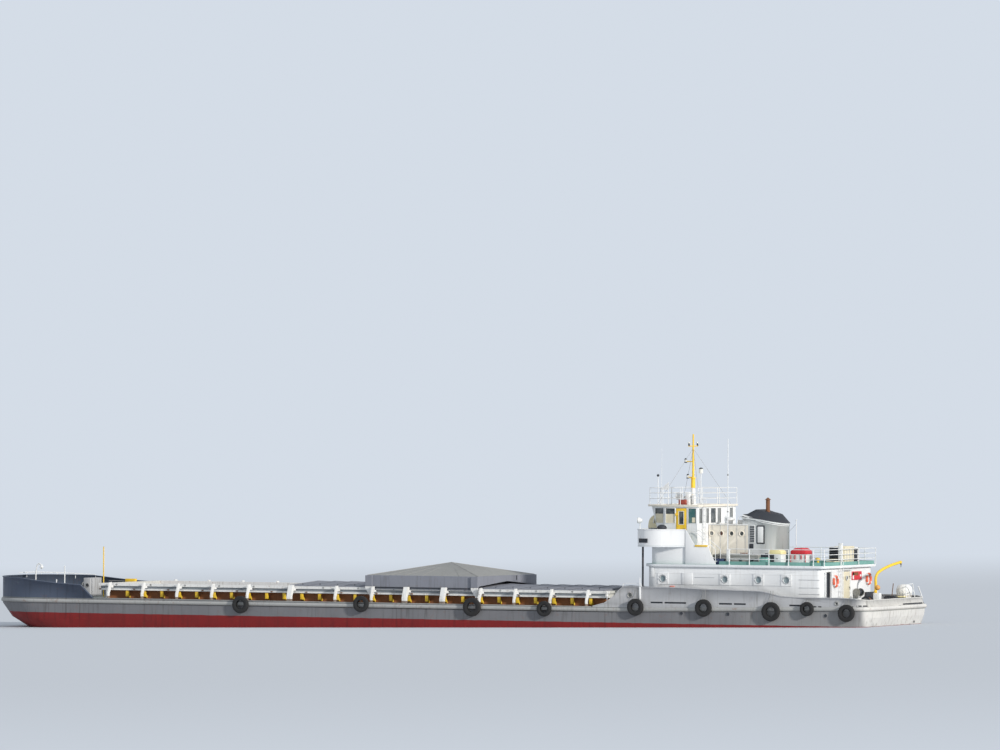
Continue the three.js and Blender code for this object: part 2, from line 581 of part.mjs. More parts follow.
// The wheelhouse's walls; above the sill the front leans forward.
function wheelhouse() {
  const { aft, fore, half, low, sill, high, wall, lean } = WHEELHOUSE;
  const block = (inset, past) => {
    const overrun = lean * (past / (high - sill));
    // [height, lean]
    const levels = [[low - past, 0], [sill, 0], [high + past, lean + overrun]];
    return loft(levels.map(([, by]) => wheelhouseOutline(inset, by)), (i, x, y) => [x, y, levels[i][0]]);
  };
  let house = block(0, 0).subtract(block(wall, 0.5));
  const height = [WINDOW.low, WINDOW.high];
  for (const [from, to] of [[11.28, 11.78], [12.68, 13.27]]) {
    house = house.subtract(bothSides(box([from, to], [half - 0.3, half + 1], height)));
  }
  const cut = [
    [CHAMFER.x + 0.12, half + 0.3], [CHAMFER.x + 0.12, half - 0.25],
    [fore + 0.05, CHAMFER.y - 0.2], [fore + 0.05, CHAMFER.y + 0.5],
  ];
  house = house.subtract(bothSides(prism(cut, "z", ...height)));
  for (let i = 0; i < 5; i++) {
    const y = (i - 2) * 0.88;
    house = house.subtract(box([fore - 0.1, fore + 1], [y - 0.36, y + 0.36], height));
  }
  // The aft windows, [port edge, starboard edge].
  const panes = [[2.56, 2.12], [1.61, 1.15], [0.86, 0.11], [-0.13, -0.64], [-1.93, -2.39]];
  for (const [port, starboard] of panes) {
    house = house.subtract(box([aft - 1, aft + 0.3], [starboard, port], height));
  }
  return house.subtract(box([DOOR.aft, DOOR.fore], [-5, 5], [DOOR.low, DOOR.high]));
}

const ROOF_THICK = 0.09;
const ROOF_TOP = WHEELHOUSE.high + ROOF_THICK + 2 * GAP;

function wheelhouseRoof() {
  const port = [[11.08, 2.92], [13.5, 2.95], [14.65, 2.4]];
  const low = WHEELHOUSE.high + GAP;
  return prism([...port, ...reflected(port)], "z", low, low + ROOF_THICK);
}

// A door leaf hung at x = 0 with its outer face up: it reaches along -X, y is outward from the wall's face.
function doorLeaf(width, height, thick, window) {
  const y0 = -HINGE.radius - GAP; // the wall's face, seen from the hinge's axis
  let leaf = box([-width + MOVE, -MOVE], [y0 - thick, y0 + HINGE.proud], [MOVE, height - MOVE]);
  if (window) leaf = leaf.subtract(box([-width * 0.72, -width * 0.28], [-1, 1], window));
  for (const z of [height * 0.18, height * 0.82]) {
    const barrel = bar([0, 0, z - 0.08], [0, 0, z + 0.08], HINGE.radius, 10);
    const strap = box([-0.16, 0], [y0 + GAP, HINGE.radius * 0.6], [z - 0.04, z + 0.04]);
    leaf = join([leaf, strap, barrel]);
  }
  return leaf;
}

// A railing along a path seen from above: round rails at some heights and a post at each point.
function railing(points, base, heights, radius, closed = false) {
  const solids = points.map(([x, y]) => bar([x, y, base], [x, y, base + heights.at(-1)], radius, 4));
  const runs = closed ? points.length : points.length - 1;
  for (let i = 0; i < runs; i++) {
    const [a, b] = [points[i], points[(i + 1) % points.length]];
    for (const height of heights) {
      solids.push(bar([...a, base + height], [...b, base + height], radius * 0.8, 4));
    }
  }
  return join(solids);
}

function roofRailing() {
  const side = [[11.14, 2.86], [12.3, 2.88], [13.45, 2.88], [14.55, 2.36]];
  const points = [...side, [14.55, 0.8], ...reflected([...side, [14.55, 0.8]]), [11.14, 0]];
  return railing(points, ROOF_TOP, [0.4, 0.72, 1.03], 0.022, true);
}

function boatDeckRailing() {
  const side = [8.6, 7.29, 6.02, 4.75, 3.14, 2.43].map((x) => [x, 3.92]);
  const points = [...side, [2.43, 1.3], ...reflected([...side, [2.43, 1.3]])];
  return railing(points, BOAT_DECK.high + GAP, [0.35, 0.65, 0.95], 0.025);
}

function signalMast() {
  const x = 12.76;
  const solids = [
    bar([x, 0, ROOF_TOP], [x, 0, 10.2], 0.16, 10, 0.12),
    bar([x, 0, 10.1], [x, 0, 12.86], 0.07, 8, 0.045),
    bar([x, -0.67, 12.14], [x, 0.67, 12.14], 0.03),
    bar([x, 0, 11.2], [x + 0.5, 0, 11.2], 0.03),
    bar([x + 0.5, 0, 11.12], [x + 0.5, 0, 11.4], 0.09, 8),
    bar([x, 0, 10.25], [x + 0.35, 0, 10.25], 0.03),
    bar([x + 0.35, 0, 10.17], [x + 0.35, 0, 10.42], 0.09, 8),
  ];
  return join(solids);
}

function propeller(hand) {
  const { radius, hub, length, blades } = PROPELLER;
  let screw = bar([-length / 2, 0, 0], [length / 2, 0, 0], hub * 0.75, 12, hub);
  screw = screw.add(bar([-length / 2 - 0.12, 0, 0], [-length / 2, 0, 0], 0.04, 12, hub * 0.75));
  // [distance out, chord, pitch angle in degrees]
  const stations = [[hub * 0.6, 0.16, 55], [0.32, 0.32, 38], [0.46, 0.3, 30], [radius, 0.14, 25]];
  const thin = 0.012;
  const section = (chord) => [[-chord / 2, -thin], [chord / 2, -thin], [chord / 2, thin], [-chord / 2, thin]];
  for (let i = 0; i < blades; i++) {
    const round = (i * 2 * Math.PI) / blades;
    const [cos, sin] = [Math.cos(round), Math.sin(round)];
    const place = (k, a, b) => {
      const [out, , degrees] = stations[k];
      const pitch = (hand * degrees * Math.PI) / 180;
      const along = a * Math.sin(pitch) + b * Math.cos(pitch);
      const across = a * Math.cos(pitch) - b * Math.sin(pitch);
      return [along, out * cos - across * sin, out * sin + across * cos];
    };
    screw = screw.add(loft(stations.map(([, chord]) => section(chord)), place));
  }
  return screw;
}

// A rudder hung from its stock at the origin.
function rudder() {
  const { low, high, fore, aft, thick } = RUDDER;
  const blade = [[fore, 0], [fore * 0.6, thick / 2], [-aft * 0.3, thick / 2], [-aft, 0.012], [-aft, -0.012],
    [-aft * 0.3, -thick / 2], [fore * 0.6, -thick / 2]];
  return prism(blade, "z", low, high).add(bar([0, 0, high - 0.05], [0, 0, high + 0.06 - GAP], 0.06, 12));
}

const WINDLASS = { x: 56.9, axis: 0.42, shaft: 0.06, cheek: 0.62, drum: 0.2, flange: 0.32 };

function windlassFrame() {
  const { cheek, axis, shaft } = WINDLASS;
  const base = DECK + GAP;
  let frame = box([-0.5, 0.5], [-0.85, 0.85], [base - DECK, 0.08]);
  const outline = [[-0.35, 0.05], [0.35, 0.05], [0.16, axis + 0.18], [-0.16, axis + 0.18]];
  frame = frame.add(bothSides(prism(outline, "y", cheek, cheek + 0.08)));
  const bore = shaft / Math.cos(Math.PI / 16) + GAP;
  return frame.subtract(bar([0, -1, axis], [0, 1, axis], bore, 16));
}

function windlassDrum() {
  const { shaft, cheek, drum, flange } = WINDLASS;
  const parts = [bar([0, -0.98, 0], [0, 0.98, 0], shaft, 16), bar([0, -0.5, 0], [0, 0.5, 0], drum, 16)];
  for (const y of [0.5, -0.5, 0.02]) parts.push(bar([0, y - 0.05, 0], [0, y + 0.05, 0], flange, 16));
  for (const side of [1, -1]) parts.push(bar([0, side * 0.76, 0], [0, side * 0.97, 0], 0.13, 12));
  return join(parts);
}

const TYRE_HALF = 0.13;

function tyre(diameter) {
  const outer = diameter / 2;
  // [share of the radius, sideways]
  const profile = [
    [0.45, -0.09], [0.62, -0.12], [0.88, -TYRE_HALF], [1, -0.08],
    [1, 0.08], [0.88, TYRE_HALF], [0.62, 0.12], [0.45, 0.09],
  ];
  const points = [...profile, profile[0]].map(([r, z]) => [r * outer, z]);
  return turned(points, 18).rotate([90, 0, 0]);
}

add("hull", hull(), HULL_GREY);
add("rubbing_strake", rubbingStrake(), STRAKE_GREY);
add("bow_bulwark", bowBulwark(), HULL_GREY);
const plateFrom = (x) => box([x, AFT_TOP.at(-1)[0] + 1], [-HALF_BEAM - 1, 0], [DECK, DECK + 2]);
add("aft_bulwark", aftBulwark().subtract(plateFrom(BULWARK_JOINT - GAP)), HULL_GREY);
add("aft_bulwark_starboard", aftBulwark().intersect(plateFrom(BULWARK_JOINT)), HULL_GREY);
add("hatch_coaming", hatchCoaming(), RUSTY);
add("coaming_beam_port", sideBeam(), PALE);
add("coaming_beam_starboard", mirrored(sideBeam()), PALE);
add("hatch_cover_tall", tallCover(), COVER_GREY, [TALL.middle, 0, 0]);
add("hatch_cover_aft", lowCover(9.3), COVER_GREY, [16.9, 0, 0]);
add("hatch_cover_fore", lowCover(6.0), COVER_GREY, [32.3, 0, 0]);
add("deckhouse", deckhouse(), WHITE);
add("boat_deck", boatDeck(), DECK_GREEN);
add("bridge_house", bridgeHouse(), WHITE);
add("bridge_deck", bridgeDeck(), DECK_GREEN);
add("wing_bulwark", wingBulwark(), WHITE);
add("ladder_side_port", ladderSide(), WHITE);
add("ladder_side_starboard", mirrored(ladderSide()), WHITE);
add("aft_cabin", aftCabin(), WHITE);
add("funnel", funnel(), WHITE);
add("wheelhouse", wheelhouse(), WHITE);
add("wheelhouse_roof", wheelhouseRoof(), WHITE);

const leaf = doorLeaf(DOOR.fore - DOOR.aft, DOOR.high - DOOR.low, DOOR.thick, [1.2, 1.95]);
const hingeY = WHEELHOUSE.half + HINGE.radius + GAP;
add("wheelhouse_door_port", leaf, YELLOW, [DOOR.fore, hingeY, DOOR.low]);
add("wheelhouse_door_starboard", mirrored(leaf), YELLOW, [DOOR.fore, -hingeY, DOOR.low]);
const houseDoorWide = HOUSE_DOOR.port - HOUSE_DOOR.starboard;
const houseLeaf = doorLeaf(houseDoorWide, HOUSE_DOOR.high - HOUSE_DOOR.low, HOUSE_DOOR.thick);
const facingAft = new THREE.Quaternion().setFromAxisAngle(new THREE.Vector3(0, 0, 1), Math.PI / 2);
const houseHinge = [HOUSE.aft - HINGE.radius - GAP, HOUSE_DOOR.port, HOUSE_DOOR.low];
add("deckhouse_door", houseLeaf, WHITE, houseHinge, facingAft);

add("roof_railing", roofRailing(), WHITE);
add("boat_deck_railing", boatDeckRailing(), WHITE);
add("signal_mast", signalMast(), YELLOW);

// Plain deck gear: name, x from and to, y from and to, height, finish.
const BOAT_GEAR = [
  ["skylight", 7.3, 10.3, 1.6, 2.6, 0.58, COVER_GREY],
  ["deck_locker", 5.98, 6.85, 1.4, 2.2, 0.93, YELLOW],
  ["covered_box", 4.9, 5.9, 0.0, 1.0, 0.99, RED],
  ["raft_box", 2.58, 3.3, -1.6, 0.42, 1.12, CANVAS],
];
const gearBase = BOAT_DECK.high + GAP;
for (const [name, aft, fore, low, high, tall, look] of BOAT_GEAR) {
  add(name, box([aft, fore], [low, high], [gearBase, gearBase + tall]), look);
}
const cabinet = box([2.75, 3.4], [0.45, 1.0], [gearBase, gearBase + 1.1]);
const cornerPost = box([2.56, 2.78], [0.8, 1.0], [gearBase, 6.37]);
add("louvre_box", cabinet.add(cornerPost), WHITE);
const ventBox = box([8.98, 9.16], [2.92, 3.1], [gearBase, 5.98]);
add("vent_post", ventBox.add(bar([9.12, 3.0, 5.9], [9.12, 3.0, 12.6], 0.035, 6, 0.02)), WHITE);

const DAVIT = { x: 1.15, y: -0.9, pedestal: 3.4, radius: 0.085 };
const onDeck = DECK + GAP;
add("davit_base", box([-0.3, 0.12], [-0.2, 0.12], [onDeck, DAVIT.pedestal]), WHITE, [DAVIT.x, DAVIT.y, 0]);
const davitPath = [
  [0, 0, 0], [0, 0, 0.5], [0, 0, 0.91], [-0.05, -0.12, 1.15], [-0.16, -0.4, 1.34],
  [-0.45, -1.13, 1.62], [-0.8, -2.0, 1.83],
];
add("davit_arm", pipe(davitPath, DAVIT.radius, 8, 18), YELLOW, [DAVIT.x, DAVIT.y, DAVIT.pedestal + GAP]);
const covered = [[0, 0], [0.34, 0], [0.34, 0.72], [0.48, 0.76], [0.5, 1.1], [0.4, 1.36], [0, 1.44]];
add("stern_capstan", turned(covered, 16), CANVAS, [0.3, -3.3, onDeck]);

for (const [side, sign] of [["port", 1], ["starboard", -1]]) {
  add(`propeller_${side}`, propeller(sign), BRONZE, [PROPELLER.x, sign * SHAFT.y, SHAFT.z]);
  add(`rudder_${side}`, rudder(), DARK, [RUDDER.stock, sign * SHAFT.y, 0]);
}

add("windlass_frame", windlassFrame(), DARK, [WINDLASS.x, 0, DECK]);
add("windlass_drum", windlassDrum(), DARK, [WINDLASS.x, 0, DECK + WINDLASS.axis]);
add("fore_locker", box([54.11, 54.59], [-0.74, 0.74], [onDeck, 3.61]), HULL_GREY);

// Tyre fenders, [x, height of the middle, diameter], hung along both sides, the small ones only to port.
const SMALL_TYRE = 0.95;
const TYRES = [
  [41.1, 2.23, 1.07], [32.75, 2.4, 1.0], [25.2, 2.33, 1.14], [20.34, 2.3, 0.93], [14.28, 2.49, 1.02],
  [9.81, 2.51, 1.04], [5.42, 2.36, 1.14], [3.09, 2.55, 0.84], [0.55, 2.34, 1.02],
];
for (const [side, sign] of [["port", 1], ["starboard", -1]]) {
  TYRES.forEach(([x, z, diameter], i) => {
    if (sign < 0 && diameter < SMALL_TYRE) return;
    const y = HALF_BEAM + STRAKE.proud + TYRE_HALF + GAP;
    add(`tyre_${side}_${i + 1}`, tyre(diameter), RUBBER, [x, sign * y, z]);
  });
}

export default group;
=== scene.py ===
"""River barge at half size: the looks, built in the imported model's frame.

Sizes are the real barge's, in metres: x forward, y to port, z up from the flat bottom. Each piece is
modelled in them and its finished mesh is brought into the frame once.
"""

from __future__ import annotations

import json
import logging
import math
from dataclasses import dataclass
from enum import Enum
from typing import Iterable, Sequence

import bpy
from mathutils import Matrix, Vector

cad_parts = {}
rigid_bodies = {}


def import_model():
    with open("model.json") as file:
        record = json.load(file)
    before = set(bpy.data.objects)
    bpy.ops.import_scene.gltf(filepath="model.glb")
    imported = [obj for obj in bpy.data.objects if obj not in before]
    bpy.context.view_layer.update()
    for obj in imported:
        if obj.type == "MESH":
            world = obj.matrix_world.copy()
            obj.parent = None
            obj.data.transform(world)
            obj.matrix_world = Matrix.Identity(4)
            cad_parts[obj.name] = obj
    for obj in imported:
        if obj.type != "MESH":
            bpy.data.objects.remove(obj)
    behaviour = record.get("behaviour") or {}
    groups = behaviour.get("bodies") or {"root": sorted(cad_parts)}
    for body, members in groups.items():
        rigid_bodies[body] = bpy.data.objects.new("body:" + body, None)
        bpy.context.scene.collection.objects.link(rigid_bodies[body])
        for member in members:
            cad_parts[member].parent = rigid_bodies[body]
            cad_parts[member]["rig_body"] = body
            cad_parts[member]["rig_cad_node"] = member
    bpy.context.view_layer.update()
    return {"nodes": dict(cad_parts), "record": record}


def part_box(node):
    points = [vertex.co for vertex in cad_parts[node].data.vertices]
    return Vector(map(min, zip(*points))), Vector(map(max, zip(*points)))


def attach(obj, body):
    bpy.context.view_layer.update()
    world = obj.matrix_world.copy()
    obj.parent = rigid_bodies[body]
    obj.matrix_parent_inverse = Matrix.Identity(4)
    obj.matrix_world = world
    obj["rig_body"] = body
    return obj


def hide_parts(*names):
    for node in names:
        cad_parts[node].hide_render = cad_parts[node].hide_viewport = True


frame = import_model()
LOG = logging.getLogger("river_barge")

HALF_SIZE = 0.5
STERN = -0.7
DECK = 2.45
ROOT = "barge"
HULL_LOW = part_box("hull")[0]
TO_FRAME = Matrix.Translation((HULL_LOW.x - STERN * HALF_SIZE, 0, 0)) @ Matrix.Scale(HALF_SIZE, 4)
BODY_OF = {node: body for body, nodes in frame["record"]["behaviour"]["bodies"].items() for node in nodes}

Point = Sequence[float]
Span = tuple[float, float]
Colour = tuple[float, float, float]
EVERYWHERE: Span = (-99.0, 99.0)


def place(x: float, y: float, z: float) -> Vector:
    """Turns a point of the real barge into the frame.

    Args:
        x: Metres forward.
        y: Metres to port.
        z: Metres above the flat bottom.

    Returns:
        The point in the frame's metres.
    """
    return TO_FRAME @ Vector((x, y, z))


class Look(Enum):
    """The ways that a finish can be made."""

    PAINT = "paint"
    GLASS = "glass"


class Graph:
    """A short hand for building a tree of shader nodes."""

    def __init__(self, tree: bpy.types.NodeTree) -> None:
        """Keeps the tree that the nodes go into."""
        self.tree = tree

    def node(self, kind: str, **settings: object) -> bpy.types.Node:
        """Adds a node of one kind with its settings.

        Args:
            kind: The node's type.
            settings: Its settings by name.

        Returns:
            The node.
        """
        made = self.tree.nodes.new(kind)
        for name, value in settings.items():
            setattr(made, name, value)
        return made

    def feed(self, socket: bpy.types.NodeSocket, value: object) -> None:
        """Links a socket to another, or sets its own value.

        Args:
            socket: The input.
            value: An output to link to it, or a plain value.
        """
        if isinstance(value, bpy.types.NodeSocket):
            self.tree.links.new(value, socket)
        else:
            socket.default_value = value

    def math(self, kind: str, a: object, b: object = 0.0, clamp: bool = False) -> bpy.types.NodeSocket:
        """Adds one step of arithmetic.

        Args:
            kind: The operation.
            a: The first value.
            b: The second value.
            clamp: Whether the result is kept from 0 to 1.

        Returns:
            The result.
        """
        made = self.node("ShaderNodeMath", operation=kind, use_clamp=clamp)
        self.feed(made.inputs[0], a)
        self.feed(made.inputs[1], b)
        return made.outputs[0]

    def between(self, value: object, low: float, high: float) -> bpy.types.NodeSocket:
        """Maps a value to 0 at low and 1 at high, smoothly.

        Args:
            value: The value.
            low: What becomes 0.
            high: What becomes 1.

        Returns:
            The share.
        """
        made = self.node("ShaderNodeMapRange", interpolation_type="SMOOTHSTEP")
        self.feed(made.inputs["Value"], value)
        made.inputs["From Min"].default_value = low
        made.inputs["From Max"].default_value = high
        return made.outputs["Result"]

    def stretched(self, vector: object, scale: tuple[float, float, float]) -> bpy.types.NodeSocket:
        """Stretches coordinates along each axis.

        Args:
            vector: The coordinates.
            scale: The factor of each axis.

        Returns:
            The stretched coordinates.
        """
        made = self.node("ShaderNodeMapping")
        self.feed(made.inputs["Vector"], vector)
        made.inputs["Scale"].default_value = scale
        return made.outputs["Vector"]

    def noise(self, vector: object, scale: float, detail: float = 3.0) -> bpy.types.NodeSocket:
        """Adds cloudy noise from 0 to 1.

        Args:
            vector: Where it is.
            scale: Clouds a metre.
            detail: How many finer layers it has.

        Returns:
            The noise.
        """
        made = self.node("ShaderNodeTexNoise")
        self.feed(made.inputs["Vector"], vector)
        made.inputs["Scale"].default_value = scale
        made.inputs["Detail"].default_value = detail
        return made.outputs["Fac"]

    def blend(self, share: object, a: object, b: object, kind: str = "MIX") -> bpy.types.NodeSocket:
        """Mixes two colours.

        Args:
            share: The second colour's share.
            a: The first colour.
            b: The second colour.
            kind: How they mix.

        Returns:
            The mixed colour.
        """
        made = self.node("ShaderNodeMix", data_type="RGBA", blend_type=kind)
        self.feed(made.inputs["Factor"], share)
        self.feed(made.inputs[6], a)
        self.feed(made.inputs[7], b)
        return made.outputs[2]

    def object_point(self) -> bpy.types.NodeSocket:
        """The point on the piece, in the frame."""
        return self.node("ShaderNodeTexCoord").outputs["Object"]

    def axes(self, vector: object) -> list[bpy.types.NodeSocket]:
        """Splits coordinates into x, y and z.

        Args:
            vector: The coordinates.

        Returns:
            The three values.
        """
        made = self.node("ShaderNodeSeparateXYZ")
        self.feed(made.inputs[0], vector)
        return list(made.outputs)


def new_group(
    name: str, inputs: Iterable[tuple[str, str, object]], outputs: Iterable[tuple[str, str]],
) -> Graph:
    """Makes a shader group with named sockets.

    Args:
        name: The group's name.
        inputs: Name, socket type and default value of each input.
        outputs: Name and socket type of each output.

    Returns:
        The graph of the new group, which has one input and one output node.
    """
    tree = bpy.data.node_groups.new(name, "ShaderNodeTree")
    for label, kind, value in inputs:
        tree.interface.new_socket(label, in_out="INPUT", socket_type=kind).default_value = value
    for label, kind in outputs:
        tree.interface.new_socket(label, in_out="OUTPUT", socket_type=kind)
    graph = Graph(tree)
    graph.source = graph.node("NodeGroupInput")
    graph.sink = graph.node("NodeGroupOutput")
    return graph


NUMBER, COLOUR = "NodeSocketFloat", "NodeSocketColor"


def weathering_group() -> bpy.types.NodeTree:
    """Builds the shared weathering: faded patches, dirt runs, rust runs and chips on paint."""
    graph = new_group(
        "weathering",
        [("Paint", COLOUR, (0.8, 0.8, 0.8, 1)), ("Rust", COLOUR, (0.2, 0.07, 0.03, 1)), ("Fade", NUMBER, 0.3),
         ("Runs", NUMBER, 0.3), ("Rusting", NUMBER, 0.2), ("Gloss", NUMBER, 0.5)],
        [("Colour", COLOUR), ("Roughness", NUMBER), ("Height", NUMBER)],
    )
    given = graph.source.outputs
    point = graph.object_point()
    patches = graph.between(graph.noise(point, 1.1, 4), 0.35, 0.7)
    speckle = graph.noise(point, 38, 2)
    runs = graph.between(graph.noise(graph.stretched(point, (5.5, 5.5, 0.5)), 2.2, 4), 0.5, 0.72)
    broad = graph.between(graph.noise(point, 0.7, 2), 0.38, 0.62)
    chips = graph.between(graph.noise(point, 7.5, 5), 0.62, 0.7)
    rust_runs = graph.between(graph.noise(graph.stretched(point, (9, 9, 0.8)), 2.0, 5), 0.6, 0.74)
    pale = graph.blend(1.0, given["Paint"], (1.14, 1.14, 1.12, 1), "MULTIPLY")
    dark = graph.blend(1.0, given["Paint"], (0.7, 0.69, 0.66, 1), "MULTIPLY")
    faded = graph.blend(graph.math("MULTIPLY", patches, given["Fade"]), given["Paint"], pale)
    dirt = graph.math("MULTIPLY", graph.math("MULTIPLY", runs, given["Runs"]), graph.math("ADD", broad, 0.35))
    dirty = graph.blend(dirt, faded, dark)
    rust = graph.math("MAXIMUM", graph.math("MULTIPLY", rust_runs, broad), chips)
    rust = graph.math("MULTIPLY", rust, given["Rusting"], clamp=True)
    grain = graph.math("MULTIPLY", graph.math("SUBTRACT", speckle, 0.5), 0.12)
    colour = graph.blend(rust, dirty, given["Rust"])
    colour = graph.blend(graph.math("ADD", grain, 0.06), colour, dark)
    graph.feed(graph.sink.inputs["Colour"], colour)
    rough = graph.math("ADD", given["Gloss"], graph.math("MULTIPLY", rust, 0.35))
    rough = graph.math("ADD", rough, graph.math("MULTIPLY", patches, 0.1), clamp=True)
    graph.feed(graph.sink.inputs["Roughness"], rough)
    height = graph.math("ADD", graph.math("MULTIPLY", speckle, 0.25), graph.math("MULTIPLY", rust, 0.6))
    graph.feed(graph.sink.inputs["Height"], height)
    return graph.tree


def seams_group() -> bpy.types.NodeTree:
    """Builds the shared plating: thin welded seams at a pitch along x and z."""
    graph = new_group(
        "plate_seams",
        [("Pitch X", NUMBER, 0.6), ("Pitch Z", NUMBER, 0.6), ("Width", NUMBER, 0.01)],
        [("Mask", NUMBER), ("Height", NUMBER)],
    )
    given = graph.source.outputs
    x, _, z = graph.axes(graph.object_point())
    lines = []
    for value, pitch in ((x, given["Pitch X"]), (z, given["Pitch Z"])):
        share = graph.math("FRACT", graph.math("DIVIDE", value, pitch))
        away = graph.math("MULTIPLY", graph.math("ABSOLUTE", graph.math("SUBTRACT", share, 0.5)), pitch)
        lines.append(graph.math("LESS_THAN", away, given["Width"]))
    mask = graph.math("MAXIMUM", *lines)
    graph.feed(graph.sink.inputs["Mask"], mask)
    graph.feed(graph.sink.inputs["Height"], mask)
    return graph.tree


@dataclass(frozen=True)
class Zone:
    """A part of a piece that has another colour, in the real barge's metres.

    Its edges waver by a share of a metre, and are as soft as half a band in the frame's metres.
    """

    colour: Colour
    x: Span = EVERYWHERE
    out: Span = EVERYWHERE
    z: Span = EVERYWHERE
    waver: float = 0.0
    mottle: float = 0.0
    soft: float = 0.002

    def over(self, graph: Graph, under: object) -> bpy.types.NodeSocket:
        """Blends the zone's colour over what is under it.

        Args:
            graph: The material's graph.
            under: The colour so far.

        Returns:
            The blended colour.
        """
        point = graph.object_point()
        x, y, z = graph.axes(point)
        if self.waver:
            noise = graph.math("SUBTRACT", graph.noise(point, 3, 3), 0.5)
            z = graph.math("ADD", z, graph.math("MULTIPLY", noise, self.waver * HALF_SIZE))
        shares = []
        for value, (low, high), zero in (
            (x, self.x, place(0, 0, 0).x), (graph.math("ABSOLUTE", y), self.out, 0.0), (z, self.z, 0.0),
        ):
            if low > EVERYWHERE[0]:
                edge = zero + low * HALF_SIZE
                shares.append(graph.between(value, edge - self.soft, edge + self.soft))
            if high < EVERYWHERE[1]:
                edge = zero + high * HALF_SIZE
                past = graph.between(value, edge - self.soft, edge + self.soft)
                shares.append(graph.math("SUBTRACT", 1.0, past))
        mask = shares[0]
        for share in shares[1:]:
            mask = graph.math("MULTIPLY", mask, share)
        colour: object = (*self.colour, 1)
        if self.mottle:
            cloud = graph.noise(graph.stretched(point, (1.5, 1.5, 0.8)), 2, 4)
            darker = tuple(part * (1 - self.mottle) for part in self.colour)
            colour = graph.blend(cloud, (*darker, 1), colour)
        return graph.blend(mask, under, colour)


@dataclass(frozen=True)
class Finish:
    """One surface finish: its colours, gloss and how worn it is."""

    name: str
    colour: Colour
    look: Look = Look.PAINT
    roughness: float = 0.5
    metallic: float = 0.0
    fade: float = 0.35
    runs: float = 0.35
    rusting: float = 0.15
    rust: Colour = (0.22, 0.08, 0.035)
    seams: Span | None = None
    bump: float = 0.15
    dents: float = 0.0
    # Share of painted shade on faces that look down.
    under: float = 0.0
    zones: tuple[Zone, ...] = ()

    def build(self, groups: dict[str, bpy.types.NodeTree]) -> bpy.types.Material:
        """Builds the material.

        Args:
            groups: The shared shader groups by name.

        Returns:
            The finished material.
        """
        material = bpy.data.materials.new(self.name)
        material.use_nodes = True
        graph = Graph(material.node_tree)
        shader = material.node_tree.nodes["Principled BSDF"]
        shader.inputs["Metallic"].default_value = self.metallic
        paint: object = (*self.colour, 1)
        if self.look is Look.GLASS:
            self._glass(graph, shader, paint)
            return material
        for zone in self.zones:
            paint = zone.over(graph, paint)
        weather = graph.node("ShaderNodeGroup", node_tree=groups["weathering"])
        graph.feed(weather.inputs["Paint"], paint)
        graph.feed(weather.inputs["Rust"], (*self.rust, 1))
        weather.inputs["Fade"].default_value = self.fade
        weather.inputs["Runs"].default_value = self.runs
        weather.inputs["Rusting"].default_value = self.rusting
        weather.inputs["Gloss"].default_value = self.roughness
        colour, height = weather.outputs["Colour"], weather.outputs["Height"]
        if self.seams:
            seams = graph.node("ShaderNodeGroup", node_tree=groups["plate_seams"])
            seams.inputs["Pitch X"].default_value = self.seams[0] * HALF_SIZE
            seams.inputs["Pitch Z"].default_value = self.seams[1] * HALF_SIZE
            seams.inputs["Width"].default_value = 0.006
            darker = graph.blend(1.0, colour, (0.72, 0.7, 0.68, 1), "MULTIPLY")
            colour = graph.blend(graph.math("MULTIPLY", seams.outputs["Mask"], 0.6), colour, darker)
            height = graph.math("SUBTRACT", height, seams.outputs["Height"])
        if self.dents:
            swell = graph.noise(graph.stretched(graph.object_point(), (1.6, 0.2, 0.9)), 1.6, 2)
            height = graph.math("ADD", height, graph.math("MULTIPLY", swell, self.dents))
        # Painted shade: faces that look down are darkened by the share in under, standing in for the shade
        # below ledges.
        if self.under:
            _, _, up = graph.axes(graph.node("ShaderNodeNewGeometry").outputs["Normal"])
            down = graph.math("SUBTRACT", 1.0, graph.between(up, -0.7, 0.1))
            painted_under_shade = graph.blend(1.0, colour, (0.35, 0.32, 0.3, 1), "MULTIPLY")
            colour = graph.blend(graph.math("MULTIPLY", down, self.under), colour, painted_under_shade)
        graph.feed(shader.inputs["Base Color"], colour)
        graph.feed(shader.inputs["Roughness"], weather.outputs["Roughness"])
        bump = graph.node("ShaderNodeBump")
        bump.inputs["Strength"].default_value = self.bump
        bump.inputs["Distance"].default_value = 0.004
        graph.feed(bump.inputs["Height"], height)
        graph.feed(shader.inputs["Normal"], bump.outputs["Normal"])
        return material

    def _glass(self, graph: Graph, shader: bpy.types.Node, tint: object) -> None:
        """Makes dark, slightly dusty window glass.

        Args:
            graph: The material's graph.
            shader: Its surface shader.
            tint: The glass's colour.
        """
        dust = graph.between(graph.noise(graph.object_point(), 6, 3), 0.3, 0.8)
        dusty = graph.blend(graph.math("MULTIPLY", dust, 0.3), tint, (0.5, 0.52, 0.5, 1))
        graph.feed(shader.inputs["Base Color"], dusty)
        graph.feed(shader.inputs["Roughness"], graph.math("ADD", graph.math("MULTIPLY", dust, 0.15), 0.04))


AFT_PLATES = Zone((0.24, 0.24, 0.245), x=(-99, 7.0), soft=1.4)
# Painted light: the transom is painted lighter than the hull grey, standing in for the stronger sun on its
# aft-facing plates.
SUNLIT_TRANSOM = Zone((0.6, 0.59, 0.57), x=(-99, -0.35), soft=0.08)
